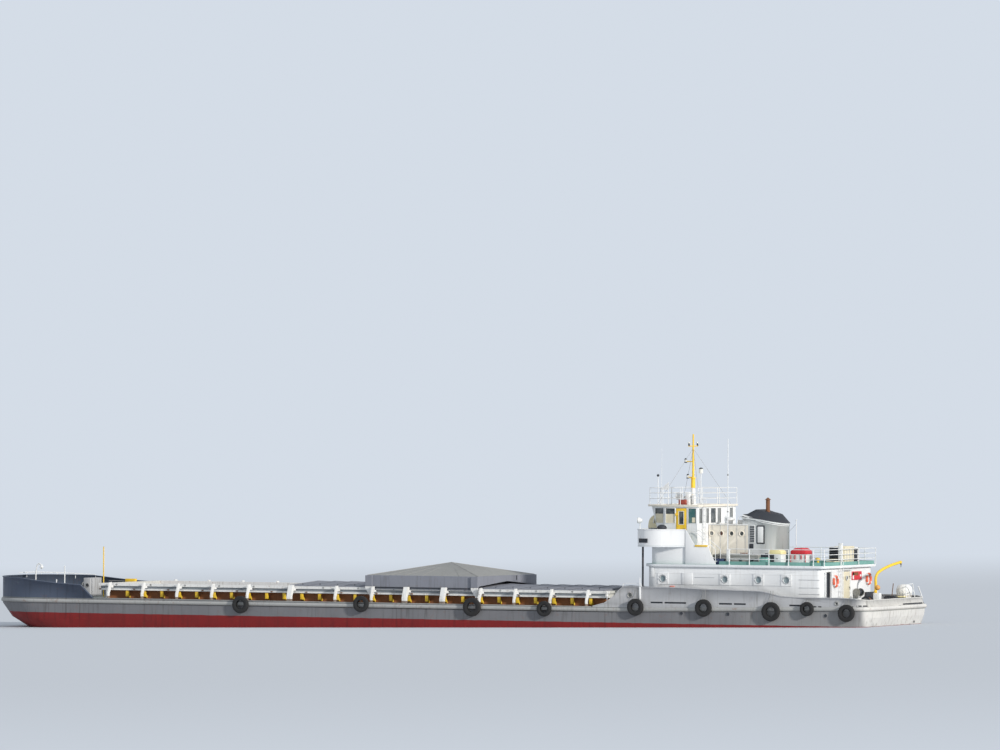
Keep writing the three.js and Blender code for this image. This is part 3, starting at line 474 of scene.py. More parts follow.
# Painted light: the bulwark and strake aft of the stern corners are painted lighter, standing in for the
# stronger sun on the aft faces.
SUNLIT_STERN_TOP = Zone((0.6, 0.59, 0.57), x=(-99, 0.0), soft=0.3)
RED_BOTTOM = Zone((0.235, 0.006, 0.006), z=(-99, 1.53), waver=0.06, mottle=0.4)
DECK_PAINT = Zone((0.17, 0.2, 0.185), z=(2.43, 99), out=(-99, 4.74))
DECK_EDGE = Zone((0.2, 0.22, 0.2), z=(2.44, 99))
HOLD_ZONE = Zone((0.16, 0.085, 0.055), x=(17.0, 51.4), out=(-99, 3.43), mottle=0.5)
KNEES = Zone((0.85, 0.6, 0.06), out=(3.515, 99), mottle=0.3)
CROSS_BEAM = Zone((0.55, 0.55, 0.52), z=(2.972, 99))
# Painted shade: the recessed web under the beam's upper flange is painted blue-grey, standing in for the
# shade it lies in.
BEAM_GROOVE_SHADE = Zone((0.3, 0.33, 0.36), out=(3.8, 3.9), z=(3.07, 3.23), mottle=0.3)
STAY_FOOT = Zone((0.3, 0.24, 0.2), z=(-99, 2.62), mottle=0.5)
TEAL = (0.2, 0.42, 0.38)
BOAT_DECK_TOP = Zone(TEAL, z=(5.073, 99), mottle=0.3)
BRIDGE_DECK_TOP = Zone(TEAL, z=(6.172, 99), mottle=0.3)
PALE_ROOF = Zone((0.3, 0.3, 0.29), z=(4.15, 99))

WHITE = Finish("house_white", (0.8, 0.81, 0.82), roughness=0.42, fade=0.3, runs=0.22, rusting=0.05,
               seams=(2.4, 9.0), dents=1.2)
PLAIN_WHITE = Finish("gear_white", (0.78, 0.79, 0.795), roughness=0.45, runs=0.2, rusting=0.06)
DULL_WHITE = Finish("moulding_grey", (0.46, 0.48, 0.5), roughness=0.5, runs=0.3, rusting=0.08)
HULL_GREY = Finish("hull_grey", (0.165, 0.166, 0.178), roughness=0.55, fade=0.9, runs=0.8, rusting=0.16,
                   seams=(1.21, 9.0), dents=6.0,
                   zones=(AFT_PLATES, SUNLIT_TRANSOM, RED_BOTTOM, DECK_EDGE, DECK_PAINT, HOLD_ZONE))
BULWARK_GREY = Finish("bulwark_grey", (0.44, 0.445, 0.46), roughness=0.55, fade=0.7, runs=0.6, rusting=0.12,
                      seams=(2.42, 9.0), dents=4.0, zones=(SUNLIT_STERN_TOP,))
# Its under share paints shade on the strake's lower faces.
STRAKE_GREY = Finish("strake_grey", (0.36, 0.365, 0.36), roughness=0.6, fade=0.8, runs=0.5, rusting=0.4,
                     under=0.75, zones=(SUNLIT_STERN_TOP,))
# Painted shade: the bow bulwark is painted dark navy, standing in for the sky-lit shade on bow plating that
# turns away from the sun.
BOW_PAINTED_SHADE = Finish("bow_painted_shade", (0.07, 0.09, 0.135), roughness=0.55, fade=0.7, runs=0.6, rusting=0.14,
                  seams=(2.42, 9.0), dents=4.0)
COAMING = Finish("coaming_primer", (0.3, 0.12, 0.05), roughness=0.75, fade=0.7, runs=0.4, rusting=0.4,
                 zones=(KNEES, CROSS_BEAM))
HOLD_RUST = Finish("hold_rust", (0.17, 0.09, 0.06), roughness=0.85, fade=0.8, runs=0.6, rusting=0.7)
BEAM_PALE = Finish("beam_pale", (0.75, 0.75, 0.74), roughness=0.6, fade=0.5, runs=0.5, rusting=0.3,
                   seams=(1.21, 9.0), zones=(STAY_FOOT, BEAM_GROOVE_SHADE))
COVER_GREY = Finish("cover_grey", (0.215, 0.225, 0.262), roughness=0.7, fade=0.6, runs=0.5, rusting=0.14,
                    dents=2.0, zones=(PALE_ROOF,))
DECK_GREEN = Finish("boat_deck_paint", (0.76, 0.78, 0.8), roughness=0.6, fade=0.4, runs=0.25, rusting=0.14,
                    zones=(BOAT_DECK_TOP,))
BRIDGE_GREEN = Finish("bridge_deck_paint", (0.76, 0.78, 0.8), roughness=0.6, fade=0.4, runs=0.25, rusting=0.1,
                      zones=(BRIDGE_DECK_TOP,))
CASING = Finish("casing_white", (0.62, 0.64, 0.65), roughness=0.5, fade=0.4, runs=0.5, rusting=0.14)
TEAL_PAINT = Finish("teal_paint", TEAL, roughness=0.55, fade=0.4, runs=0.3, rusting=0.12)
YELLOW = Finish("yellow_paint", (0.88, 0.57, 0.04), roughness=0.45, fade=0.3, runs=0.3, rusting=0.15)
PALE_YELLOW = Finish("pale_yellow", (0.85, 0.75, 0.4), roughness=0.5, fade=0.3, runs=0.2, rusting=0.05)
OCHRE = Finish("ochre_buoy", (0.7, 0.35, 0.08), roughness=0.5, fade=0.4, runs=0.2, rusting=0.0)
RED = Finish("red_paint", (0.62, 0.03, 0.045), roughness=0.5, fade=0.4, runs=0.3, rusting=0.08)
PINK = Finish("faded_red", (0.72, 0.3, 0.25), roughness=0.55, fade=0.5, runs=0.3, rusting=0.08)
ORANGE = Finish("orange_buoy", (0.8, 0.16, 0.08), roughness=0.4, fade=0.3, runs=0.15, rusting=0.0)
DARK = Finish("dark_paint", (0.03, 0.035, 0.045), roughness=0.6, fade=0.6, runs=0.3, rusting=0.2)
NAVY = Finish("navy_paint", (0.03, 0.05, 0.12), roughness=0.55, fade=0.5, runs=0.3, rusting=0.1)
RUSTY = Finish("rusty_steel", (0.2, 0.09, 0.045), roughness=0.85, fade=0.7, runs=0.5, rusting=0.8)
STEEL = Finish("worn_steel", (0.3, 0.3, 0.29), roughness=0.45, metallic=0.7, rusting=0.3)
RUBBER = Finish("tyre_rubber", (0.017, 0.017, 0.018), roughness=0.82, fade=0.9, runs=0.3, rusting=0.03,
                bump=0.4)
CANVAS = Finish("cream_canvas", (0.8, 0.72, 0.5), roughness=0.9, fade=0.4, runs=0.25, rusting=0.0, bump=0.5)
WHITE_CANVAS = Finish("white_canvas", (0.8, 0.8, 0.78), roughness=0.9, fade=0.4, runs=0.3, rusting=0.0,
                      bump=0.5)
IVORY = Finish("ivory_paint", (0.86, 0.8, 0.7), roughness=0.5, fade=0.35, runs=0.25, rusting=0.04)
CREAM = Finish("cream_paint", (0.72, 0.66, 0.5), roughness=0.5, fade=0.4, runs=0.2, rusting=0.04)
BROWN = Finish("brown_wood", (0.16, 0.08, 0.04), roughness=0.6, fade=0.6, runs=0.3, rusting=0.0)
BRONZE = Finish("screw_bronze", (0.5, 0.3, 0.1), roughness=0.35, metallic=0.9, rusting=0.1)
RUDDER_RED = Finish("bottom_red", (0.3, 0.055, 0.04), roughness=0.7, fade=0.7, runs=0.4, rusting=0.3)
GLASS = Finish("window_glass", (0.02, 0.03, 0.035), Look.GLASS)
GREY_GLASS = Finish("grey_glass", (0.16, 0.17, 0.17), Look.GLASS)
BROWN_GLASS = Finish("brown_glass", (0.16, 0.06, 0.035), Look.GLASS)
PORT_GLASS = Finish("porthole_glass", (0.2, 0.27, 0.3), Look.GLASS)
TEAL_GLASS = Finish("teal_glass", (0.03, 0.12, 0.12), Look.GLASS)
LAMP_GLASS = Finish("lamp_glass", (0.75, 0.75, 0.7), roughness=0.15, fade=0.1, runs=0.1, rusting=0.0)


class Paintshop:
    """Builds each finish once and hands out its material."""

    def __init__(self) -> None:
        """Builds the shared groups."""
        self.groups = {"weathering": weathering_group(), "plate_seams": seams_group()}
        self.made: dict[Finish, bpy.types.Material] = {}

    def material(self, finish: Finish) -> bpy.types.Material:
        """The material of a finish, built the first time that it's asked for.

        Args:
            finish: The finish.

        Returns:
            Its material.
        """
        if finish not in self.made:
            self.made[finish] = finish.build(self.groups)
        return self.made[finish]

    def coat(self, piece: bpy.types.Object, finish: Finish) -> None:
        """Gives all of a piece one finish.

        Args:
            piece: The mesh object.
            finish: The finish.
        """
        piece.data.materials.clear()
        piece.data.materials.append(self.material(finish))


SHOP = Paintshop()


def only(piece: bpy.types.Object) -> None:
    """Selects one object alone and makes it active.

    Args:
        piece: The object.
    """
    for chosen in bpy.context.selected_objects:
        chosen.select_set(False)
    piece.select_set(True)
    bpy.context.view_layer.objects.active = piece


def edited(piece: bpy.types.Object, *steps: tuple) -> None:
    """Runs edit-mode steps on all of a mesh.

    Args:
        piece: The mesh object.
        steps: Each an operator and its settings.
    """
    only(piece)
    bpy.ops.object.mode_set(mode="EDIT")
    bpy.ops.mesh.select_all(action="SELECT")
    for operator, settings in steps:
        operator(**settings)
    bpy.ops.object.mode_set(mode="OBJECT")


def smoothed(piece: bpy.types.Object, degrees: float = 35.0) -> None:
    """Shades a mesh smooth except at edges sharper than an angle.

    Args:
        piece: The mesh object.
        degrees: The angle.
    """
    only(piece)
    bpy.ops.object.shade_smooth_by_angle(angle=math.radians(degrees))


def from_points(name: str, points: list, edges: list, faces: list) -> bpy.types.Object:
    """Makes a mesh object from plain lists.

    Args:
        name: Its name.
        points: Its points.
        edges: Pairs of points.
        faces: Rings of points.

    Returns:
        The object.
    """
    mesh = bpy.data.meshes.new(name)
    mesh.from_pydata(points, edges, faces)
    made = bpy.data.objects.new(name, mesh)
    bpy.context.scene.collection.objects.link(made)
    return made


def spot(x: float, y: float, z: float, turn: float = 0.0, tilt: float = 0.0) -> Matrix:
    """A place whose y axis points outwards.

    Args:
        x: Metres forward.
        y: Metres to port.
        z: Metres up.
        turn: Degrees about z, 0 to face port, 180 starboard, 90 aft, -90 forward.
        tilt: Degrees that the outer face looks down.

    Returns:
        The place as a matrix.
    """
    turned = Matrix.Rotation(math.radians(turn), 4, "Z") @ Matrix.Rotation(-math.radians(tilt), 4, "X")
    return Matrix.Translation((x, y, z)) @ turned


class Piece:
    """One piece of the looks, put together from parts in the real barge's metres."""

    RING_STEPS, RING_SIDES = 28, 8
    BALL_STEPS, BALL_ROWS = 20, 12
    PIPE_ROUNDNESS, BEND_STEPS = 2, 6
    MERGE = 1e-4

    def __init__(self, name: str, body: str = ROOT, at: Matrix | None = None) -> None:
        """Starts an empty piece.

        Args:
            name: The piece's name.
            body: The CAD body that it moves with.
            at: Where its own axes are.
        """
        self.name, self.body = name, body
        self.at = at or Matrix.Identity(4)
        self.parts: list[bpy.types.Object] = []

    def _keep(self, part: bpy.types.Object, finish: Finish, bevel: float = 0.0,
              turn: Matrix | None = None) -> None:
        """Fixes a part's place in its mesh, bevels and paints it and adds it to the piece.

        Args:
            part: The part.
            finish: Its finish.
            bevel: Width of its edges' rounding.
            turn: Its place, if that isn't its object's own.
        """
        part.data.transform(turn or part.matrix_basis)
        part.matrix_basis = Matrix.Identity(4)
        if bevel:
            edited(part, (bpy.ops.mesh.bevel, {"offset": bevel, "segments": 2, "affect": "EDGES"}))
        part.data.transform(self.at)
        SHOP.coat(part, finish)
        self.parts.append(part)

    def box(self, x: Span, y: Span, z: Span, finish: Finish, bevel: float = 0.012,
            turn: tuple[float, float, float] = (0, 0, 0)) -> None:
        """Adds a block between three pairs of limits, turned about its own middle by degrees.

        Args:
            x: From aft to fore.
            y: From starboard to port.
            z: From low to high.
            finish: Its finish.
            bevel: Width of its edges' rounding.
            turn: Degrees about each axis.
        """
        middle = [(low + high) / 2 for low, high in (x, y, z)]
        size = [abs(high - low) for low, high in (x, y, z)]
        angles = [math.radians(angle) for angle in turn]
        bpy.ops.mesh.primitive_cube_add(size=1, location=middle, rotation=angles, scale=size)
        self._keep(bpy.context.object, finish, min(bevel, 0.3 * min(size)))

    def bar(self, a: Point, b: Point, radius: float, finish: Finish, end: float | None = None,
            sides: int = 12, bevel: float = 0.0) -> None:
        """Adds a round bar between two points, tapered if it has two radii.

        Args:
            a: The first end.
            b: The other end.
            radius: The first end's radius.
            finish: Its finish.
            end: The other end's radius.
            sides: Faces round it.
            bevel: Width of its edges' rounding.
        """
        start, stop = Vector(a), Vector(b)
        along = stop - start
        far = radius if end is None else end
        bpy.ops.mesh.primitive_cone_add(vertices=sides, radius1=radius, radius2=far, depth=along.length)
        turn = Matrix.Translation((start + stop) / 2) @ along.to_track_quat("Z", "Y").to_matrix().to_4x4()
        self._keep(bpy.context.object, finish, bevel, turn)

    def pipe(self, points: Sequence[Point], radius: float, finish: Finish, closed: bool = False,
             smooth: bool = False) -> None:
        """Adds a pipe through points, with mitred corners or in one smooth bend.

        Args:
            points: The points.
            radius: The pipe's radius.
            finish: Its finish.
            closed: Whether it runs back to its start.
            smooth: Whether it bends smoothly.
        """
        curve = bpy.data.curves.new(self.name, "CURVE")
        curve.dimensions, curve.bevel_depth, curve.bevel_resolution = "3D", radius, self.PIPE_ROUNDNESS
        curve.use_fill_caps = True
        curve.resolution_u = self.BEND_STEPS
        spline = curve.splines.new("NURBS" if smooth else "POLY")
        spline.points.add(len(points) - 1)
        for knot, point in zip(spline.points, points):
            knot.co = (*point, 1)
        spline.use_cyclic_u = closed
        if smooth:
            spline.order_u, spline.use_endpoint_u = 3, True
        made = bpy.data.objects.new(self.name, curve)
        bpy.context.scene.collection.objects.link(made)
        only(made)
        bpy.ops.object.convert(target="MESH")
        self._keep(bpy.context.object, finish)

    def turned(self, profile: Sequence[Point], at: Point, finish: Finish, axis: Point = (0, 0, 1),
               steps: int = 24) -> None:
        """Adds a shape turned from a profile of (radius, height) about an axis through a point.

        Args:
            profile: The profile.
            at: The point.
            finish: Its finish.
            axis: The axis.
            steps: Faces round it.
        """
        points = [(radius, 0, height) for radius, height in profile]
        part = from_points(self.name, points, [(i, i + 1) for i in range(len(points) - 1)], [])
        edited(
            part,
            (bpy.ops.mesh.spin, {"steps": steps, "angle": math.tau, "center": (0, 0, 0), "axis": (0, 0, 1)}),
            (bpy.ops.mesh.select_all, {"action": "SELECT"}),
            (bpy.ops.mesh.remove_doubles, {"threshold": self.MERGE}),
            (bpy.ops.mesh.normals_make_consistent, {"inside": False}),
        )
        turn = Matrix.Translation(Vector(at)) @ Vector(axis).to_track_quat("Z", "Y").to_matrix().to_4x4()
        self._keep(part, finish, 0.0, turn)

    def ring(self, at: Point, radius: float, thick: float, finish: Finish, axis: Point = (0, 1, 0)) -> None:
        """Adds a round ring about an axis.

        Args:
            at: Its middle.
            radius: Its radius.
            thick: Its bar's radius.
            finish: Its finish.
            axis: The axis.
        """
        bpy.ops.mesh.primitive_torus_add(major_segments=self.RING_STEPS, minor_segments=self.RING_SIDES,
                                         major_radius=radius, minor_radius=thick)
        turn = Matrix.Translation(Vector(at)) @ Vector(axis).to_track_quat("Z", "Y").to_matrix().to_4x4()
        self._keep(bpy.context.object, finish, 0.0, turn)

    def ball(self, at: Point, radius: float, finish: Finish, squash: float = 1.0) -> None:
        """Adds a ball, flattened along z.

        Args:
            at: Its middle.
            radius: Its radius.
            finish: Its finish.
            squash: Its height's share of its width.
        """
        bpy.ops.mesh.primitive_uv_sphere_add(segments=self.BALL_STEPS, ring_count=self.BALL_ROWS,
                                             radius=radius, location=at, scale=(1, 1, squash))
        self._keep(bpy.context.object, finish)

    def slab(self, outline: Sequence[Point], axis: str, span: Span, finish: Finish,
             bevel: float = 0.0) -> None:
        """Adds a plate from an outline of (y, z), (x, z) or (x, y) points, along axis x, y or z.

        Args:
            outline: The outline.
            axis: The axis across the plate.
            span: The plate's two faces along it.
            finish: Its finish.
            bevel: Width of its edges' rounding.
        """
        low, high = span
        lays = {
            "x": lambda a, b: (low, a, b),
            "y": lambda a, b: (a, low, b),
            "z": lambda a, b: (a, b, low),
        }
        lay = lays[axis]
        shift = [high - low if axis == letter else 0.0 for letter in "xyz"]
        part = from_points(self.name, [lay(a, b) for a, b in outline], [], [list(range(len(outline)))])
        edited(
            part,
            (bpy.ops.mesh.extrude_region_move, {"TRANSFORM_OT_translate": {"value": shift}}),
            (bpy.ops.mesh.select_all, {"action": "SELECT"}),
            (bpy.ops.mesh.normals_make_consistent, {"inside": False}),
        )
        self._keep(part, finish, bevel)

    def sheet4(self, corners: Sequence[Point], thick: float, finish: Finish) -> None:
        """Adds a thin plate through four corners.

        Args:
            corners: The corners in order.
            thick: Its thickness.
            finish: Its finish.
        """
        part = from_points(self.name, [tuple(corner) for corner in corners], [], [[0, 1, 2, 3]])
        only(part)
        solid = part.modifiers.new("thick", "SOLIDIFY")
        solid.thickness, solid.offset = thick, 0
        bpy.ops.object.modifier_apply(modifier="thick")
        self._keep(part, finish)

    def window(self, wide: float, tall: float, edge: Finish, glass: Finish, curtain: float = 0.0,
               rail: float = 0.035) -> None:
        """Adds a framed pane with its middle at the piece's own place, and a curtain in its lower share.

        Args:
            wide: The pane's width.
            tall: Its height.
            edge: The frame's finish.
            glass: The pane's finish.
            curtain: The share that the curtain covers.
            rail: The frame's width.
        """
        half, up = wide / 2, tall / 2
        depth, rounding = (-0.03, 0.018), 0.006
        for side in (-1, 1):
            upright = tuple(sorted((side * half, side * (half + rail))))
            across = tuple(sorted((side * up, side * (up + rail))))
            self.box(upright, depth, (-up - rail, up + rail), edge, rounding)
            self.box((-half, half), depth, across, edge, rounding)
        split = -up + curtain * tall
        self.box((-half, half), (-0.04, -0.026), (split, up), glass, 0.0)
        if curtain:
            self.box((-half, half), (-0.04, -0.03), (-up, split), CREAM, 0.0)

    def railing(self, points: Sequence[Point], base: float, heights: Sequence[float], radius: float,
                finish: Finish, closed: bool = False) -> None:
        """Adds round rails along a path seen from above, with a post at each point.

        Args:
            points: The path.
            base: The height it stands at.
            heights: Each rail's height above that.
            radius: The posts' radius.
            finish: Its finish.
            closed: Whether the rails run back to the start.
        """
        for x, y in points:
            self.bar((x, y, base), (x, y, base + heights[-1]), radius, finish, sides=10)
            self.bar((x, y, base), (x, y, base + 0.02), radius * 2.2, finish, sides=10)
        for height in heights:
            self.pipe([(x, y, base + height) for x, y in points], radius * 0.8, finish, closed)

    def mirror(self, since: int = 0) -> None:
        """Copies the parts added since a count to the other side of the centreline.

        Args:
            since: The count.
        """
        for part in self.parts[since:]:
            copy = part.copy()
            copy.data = part.data.copy()
            copy.data.transform(Matrix.Scale(-1, 4, (0, 1, 0)))
            copy.data.flip_normals()
            bpy.context.scene.collection.objects.link(copy)
            self.parts.append(copy)

    def reflect(self) -> None:
        """Moves all parts to the other side of the centreline."""
        count = len(self.parts)
        self.mirror()
        for part in self.parts[:count]:
            bpy.data.objects.remove(part)
        self.parts = self.parts[count:]

    def done(self, *nodes: str, slot: str = "house_paint", smooth: float = 35.0) -> bpy.types.Object:
        """Joins the parts, brings them into the frame and lets them ride.

        Args:
            nodes: CAD nodes that the piece stands for.
            slot: Not used.
            smooth: Degrees below which edges are shaded smooth.

        Returns:
            The finished object.
        """
        made = from_points(self.name, [], [], [])
        only(made)
        for part in self.parts:
            part.select_set(True)
        bpy.ops.object.join()
        made.data.transform(TO_FRAME)
        smoothed(made, smooth)
        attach(made, BODY_OF[nodes[0]] if nodes else self.body)
        if nodes:
            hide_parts(*nodes)
        LOG.info("%s: %d parts, %d faces", self.name, len(self.parts), len(made.data.polygons))
        return made


def dressed(node: str, finish: Finish, smooth: float = 30.0, bevel: float = 0.0) -> bpy.types.Object:
    """Stands a merged and smoothly shaded copy in a CAD node's place.

    Args:
        node: The CAD node's name.
        finish: Its finish.
        smooth: Degrees below which edges are shaded smooth.
        bevel: Width of the rounding of sharp edges in the real barge's metres.

    Returns:
        The copy.
    """
    source = frame["nodes"][node]
    copy = source.copy()
    copy.data = source.data.copy()
    bpy.context.scene.collection.objects.link(copy)
    copy.name = node + "_dressed"
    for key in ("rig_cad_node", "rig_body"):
        if key in copy:
            del copy[key]
    copy.parent = None
    copy.data.transform(source.matrix_world)
    copy.matrix_world = Matrix.Identity(4)
    edited(
        copy,
        (bpy.ops.mesh.remove_doubles, {"threshold": 1e-5}),
        (bpy.ops.mesh.dissolve_limited, {"angle_limit": math.radians(0.5)}),
    )
    if bevel:
        edge = copy.modifiers.new("edge", "BEVEL")
        edge.width, edge.segments, edge.limit_method = bevel * HALF_SIZE, 2, "ANGLE"
        edge.angle_limit = math.radians(40)
        only(copy)
        bpy.ops.object.modifier_apply(modifier="edge")
    smoothed(copy, smooth)
    SHOP.coat(copy, finish)
    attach(copy, BODY_OF[node])
    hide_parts(node)
    LOG.info("%s: %d faces", copy.name, len(copy.data.polygons))
    return copy


@dataclass
class Stage:
    """The camera, lights and floor."""

    aim: tuple[float, float, float] = (23.47, 4.75, 16.4)
    from_aft: float = 26.0
    distance: float = 415.0
    height: float = 10.0
    trim: float = 0.0168
    waterline: float = 1.5
    roll: float = 0.2
    focal_pixels: float = 6850.0
    picture_pixels: float = 1000.0
    sensor: float = 36.0
    sight: Span = (1.0, 2000.0)
    sun_toward: tuple[float, float, float] = (-0.84, 0.36, 0.3)
    sun_energy: float = 3.1
    sun_degrees: float = 4.0
    sun_colour: Colour = (1, 0.96, 0.9)
    sky_colour: Colour = (0.86, 0.92, 1.0)
    sky_strength: float = 0.65
    shown_colour: Colour = (0.66, 0.72, 0.8)
    floor_colour: Colour = (0.62, 0.65, 0.69)
    floor_size: float = 1600.0
    floor_middle: float = 30.0
    floor_fade: Span = (45.0, 150.0)

    def water(self, x: float) -> float:
        """The waterline's height at a place along the barge.

        Args:
            x: Metres forward.

        Returns:
            The height in metres.
        """
        return self.waterline - self.trim * x

    def build(self) -> None:
        """Makes the camera, the sun, the sky and the floor at the waterline."""
        bpy.context.scene.view_settings.view_transform = "Standard"
        x, y, _ = self.aim
        bearing = math.radians(self.from_aft)
        normal = Vector((self.trim, 0, 1)).normalized()
        away = Vector((-math.sin(bearing), math.cos(bearing), 0))
        away = (away - normal * away.dot(normal)).normalized()
        stand = Vector((x, y, self.water(x))) + away * self.distance + normal * self.height
        data = bpy.data.cameras.new("photo_camera")
        camera = bpy.data.objects.new("photo_camera", data)
        bpy.context.scene.collection.objects.link(camera)
        bpy.context.scene.camera = camera
        camera.location = place(*stand)
        view = place(*self.aim) - camera.location
        turn = view.to_track_quat("-Z", "Y")
        camera.rotation_mode = "QUATERNION"
        camera.rotation_quaternion = turn @ Matrix.Rotation(math.radians(self.roll), 4, "Z").to_quaternion()
        data.sensor_width = self.sensor
        data.lens = self.sensor * self.focal_pixels / self.picture_pixels
        data.clip_start, data.clip_end = self.sight
        self._sun()
        self._sky()
        self._floor(normal)

    def _sun(self) -> None:
        """A soft key light from aft, a little to port."""
        data = bpy.data.lights.new("key_sun", "SUN")
        data.energy, data.angle, data.color = self.sun_energy, math.radians(self.sun_degrees), self.sun_colour
        sun = bpy.data.objects.new("key_sun", data)
        bpy.context.scene.collection.objects.link(sun)
        sun.rotation_mode = "QUATERNION"
        sun.rotation_quaternion = Vector(self.sun_toward).to_track_quat("Z", "Y")

    def _sky(self) -> None:
        """A soft, even surround, shown paler than it lights."""
        world = bpy.data.worlds.new("studio")
        bpy.context.scene.world = world
        world.use_nodes = True
        graph = Graph(world.node_tree)
        light = world.node_tree.nodes["Background"]
        light.inputs["Color"].default_value = (*self.sky_colour, 1)
        light.inputs["Strength"].default_value = self.sky_strength
        shown = graph.node("ShaderNodeBackground")
        shown.inputs["Color"].default_value = (*self.shown_colour, 1)
        mixed = graph.node("ShaderNodeMixShader")
        graph.feed(mixed.inputs[0], graph.node("ShaderNodeLightPath").outputs["Is Camera Ray"])
        graph.feed(mixed.inputs[1], light.outputs[0])
        graph.feed(mixed.inputs[2], shown.outputs[0])
        graph.feed(world.node_tree.nodes["World Output"].inputs[0], mixed.outputs[0])

    def _floor(self, normal: Vector) -> None:
        """A plain pale floor at the waterline, which fades into the surround.

        Args:
            normal: The floor's upward direction.
        """
        bpy.ops.mesh.primitive_plane_add(size=self.floor_size)
        floor = bpy.context.object
        floor.name = "studio_floor"
        floor.location = place(self.floor_middle, 0, self.water(self.floor_middle))
        floor.rotation_mode = "QUATERNION"
        floor.rotation_quaternion = normal.to_track_quat("Z", "Y")
        material = bpy.data.materials.new("studio_floor")
        material.use_nodes = True
        graph = Graph(material.node_tree)
        shader = material.node_tree.nodes["Principled BSDF"]
        shader.inputs["Roughness"].default_value = 0.85
        shader.inputs["Specular IOR Level"].default_value = 0.0
        away = graph.node("ShaderNodeVectorMath", operation="LENGTH")
        graph.feed(away.inputs[0], graph.object_point())
        far = graph.between(away.outputs["Value"], *self.floor_fade)
        black = (0, 0, 0, 1)
        graph.feed(shader.inputs["Base Color"], graph.blend(far, (*self.floor_colour, 1), black))
        graph.feed(shader.inputs["Emission Color"], graph.blend(far, black, (*self.shown_colour, 1)))
        shader.inputs["Emission Strength"].default_value = 1
        floor.data.materials.append(material)


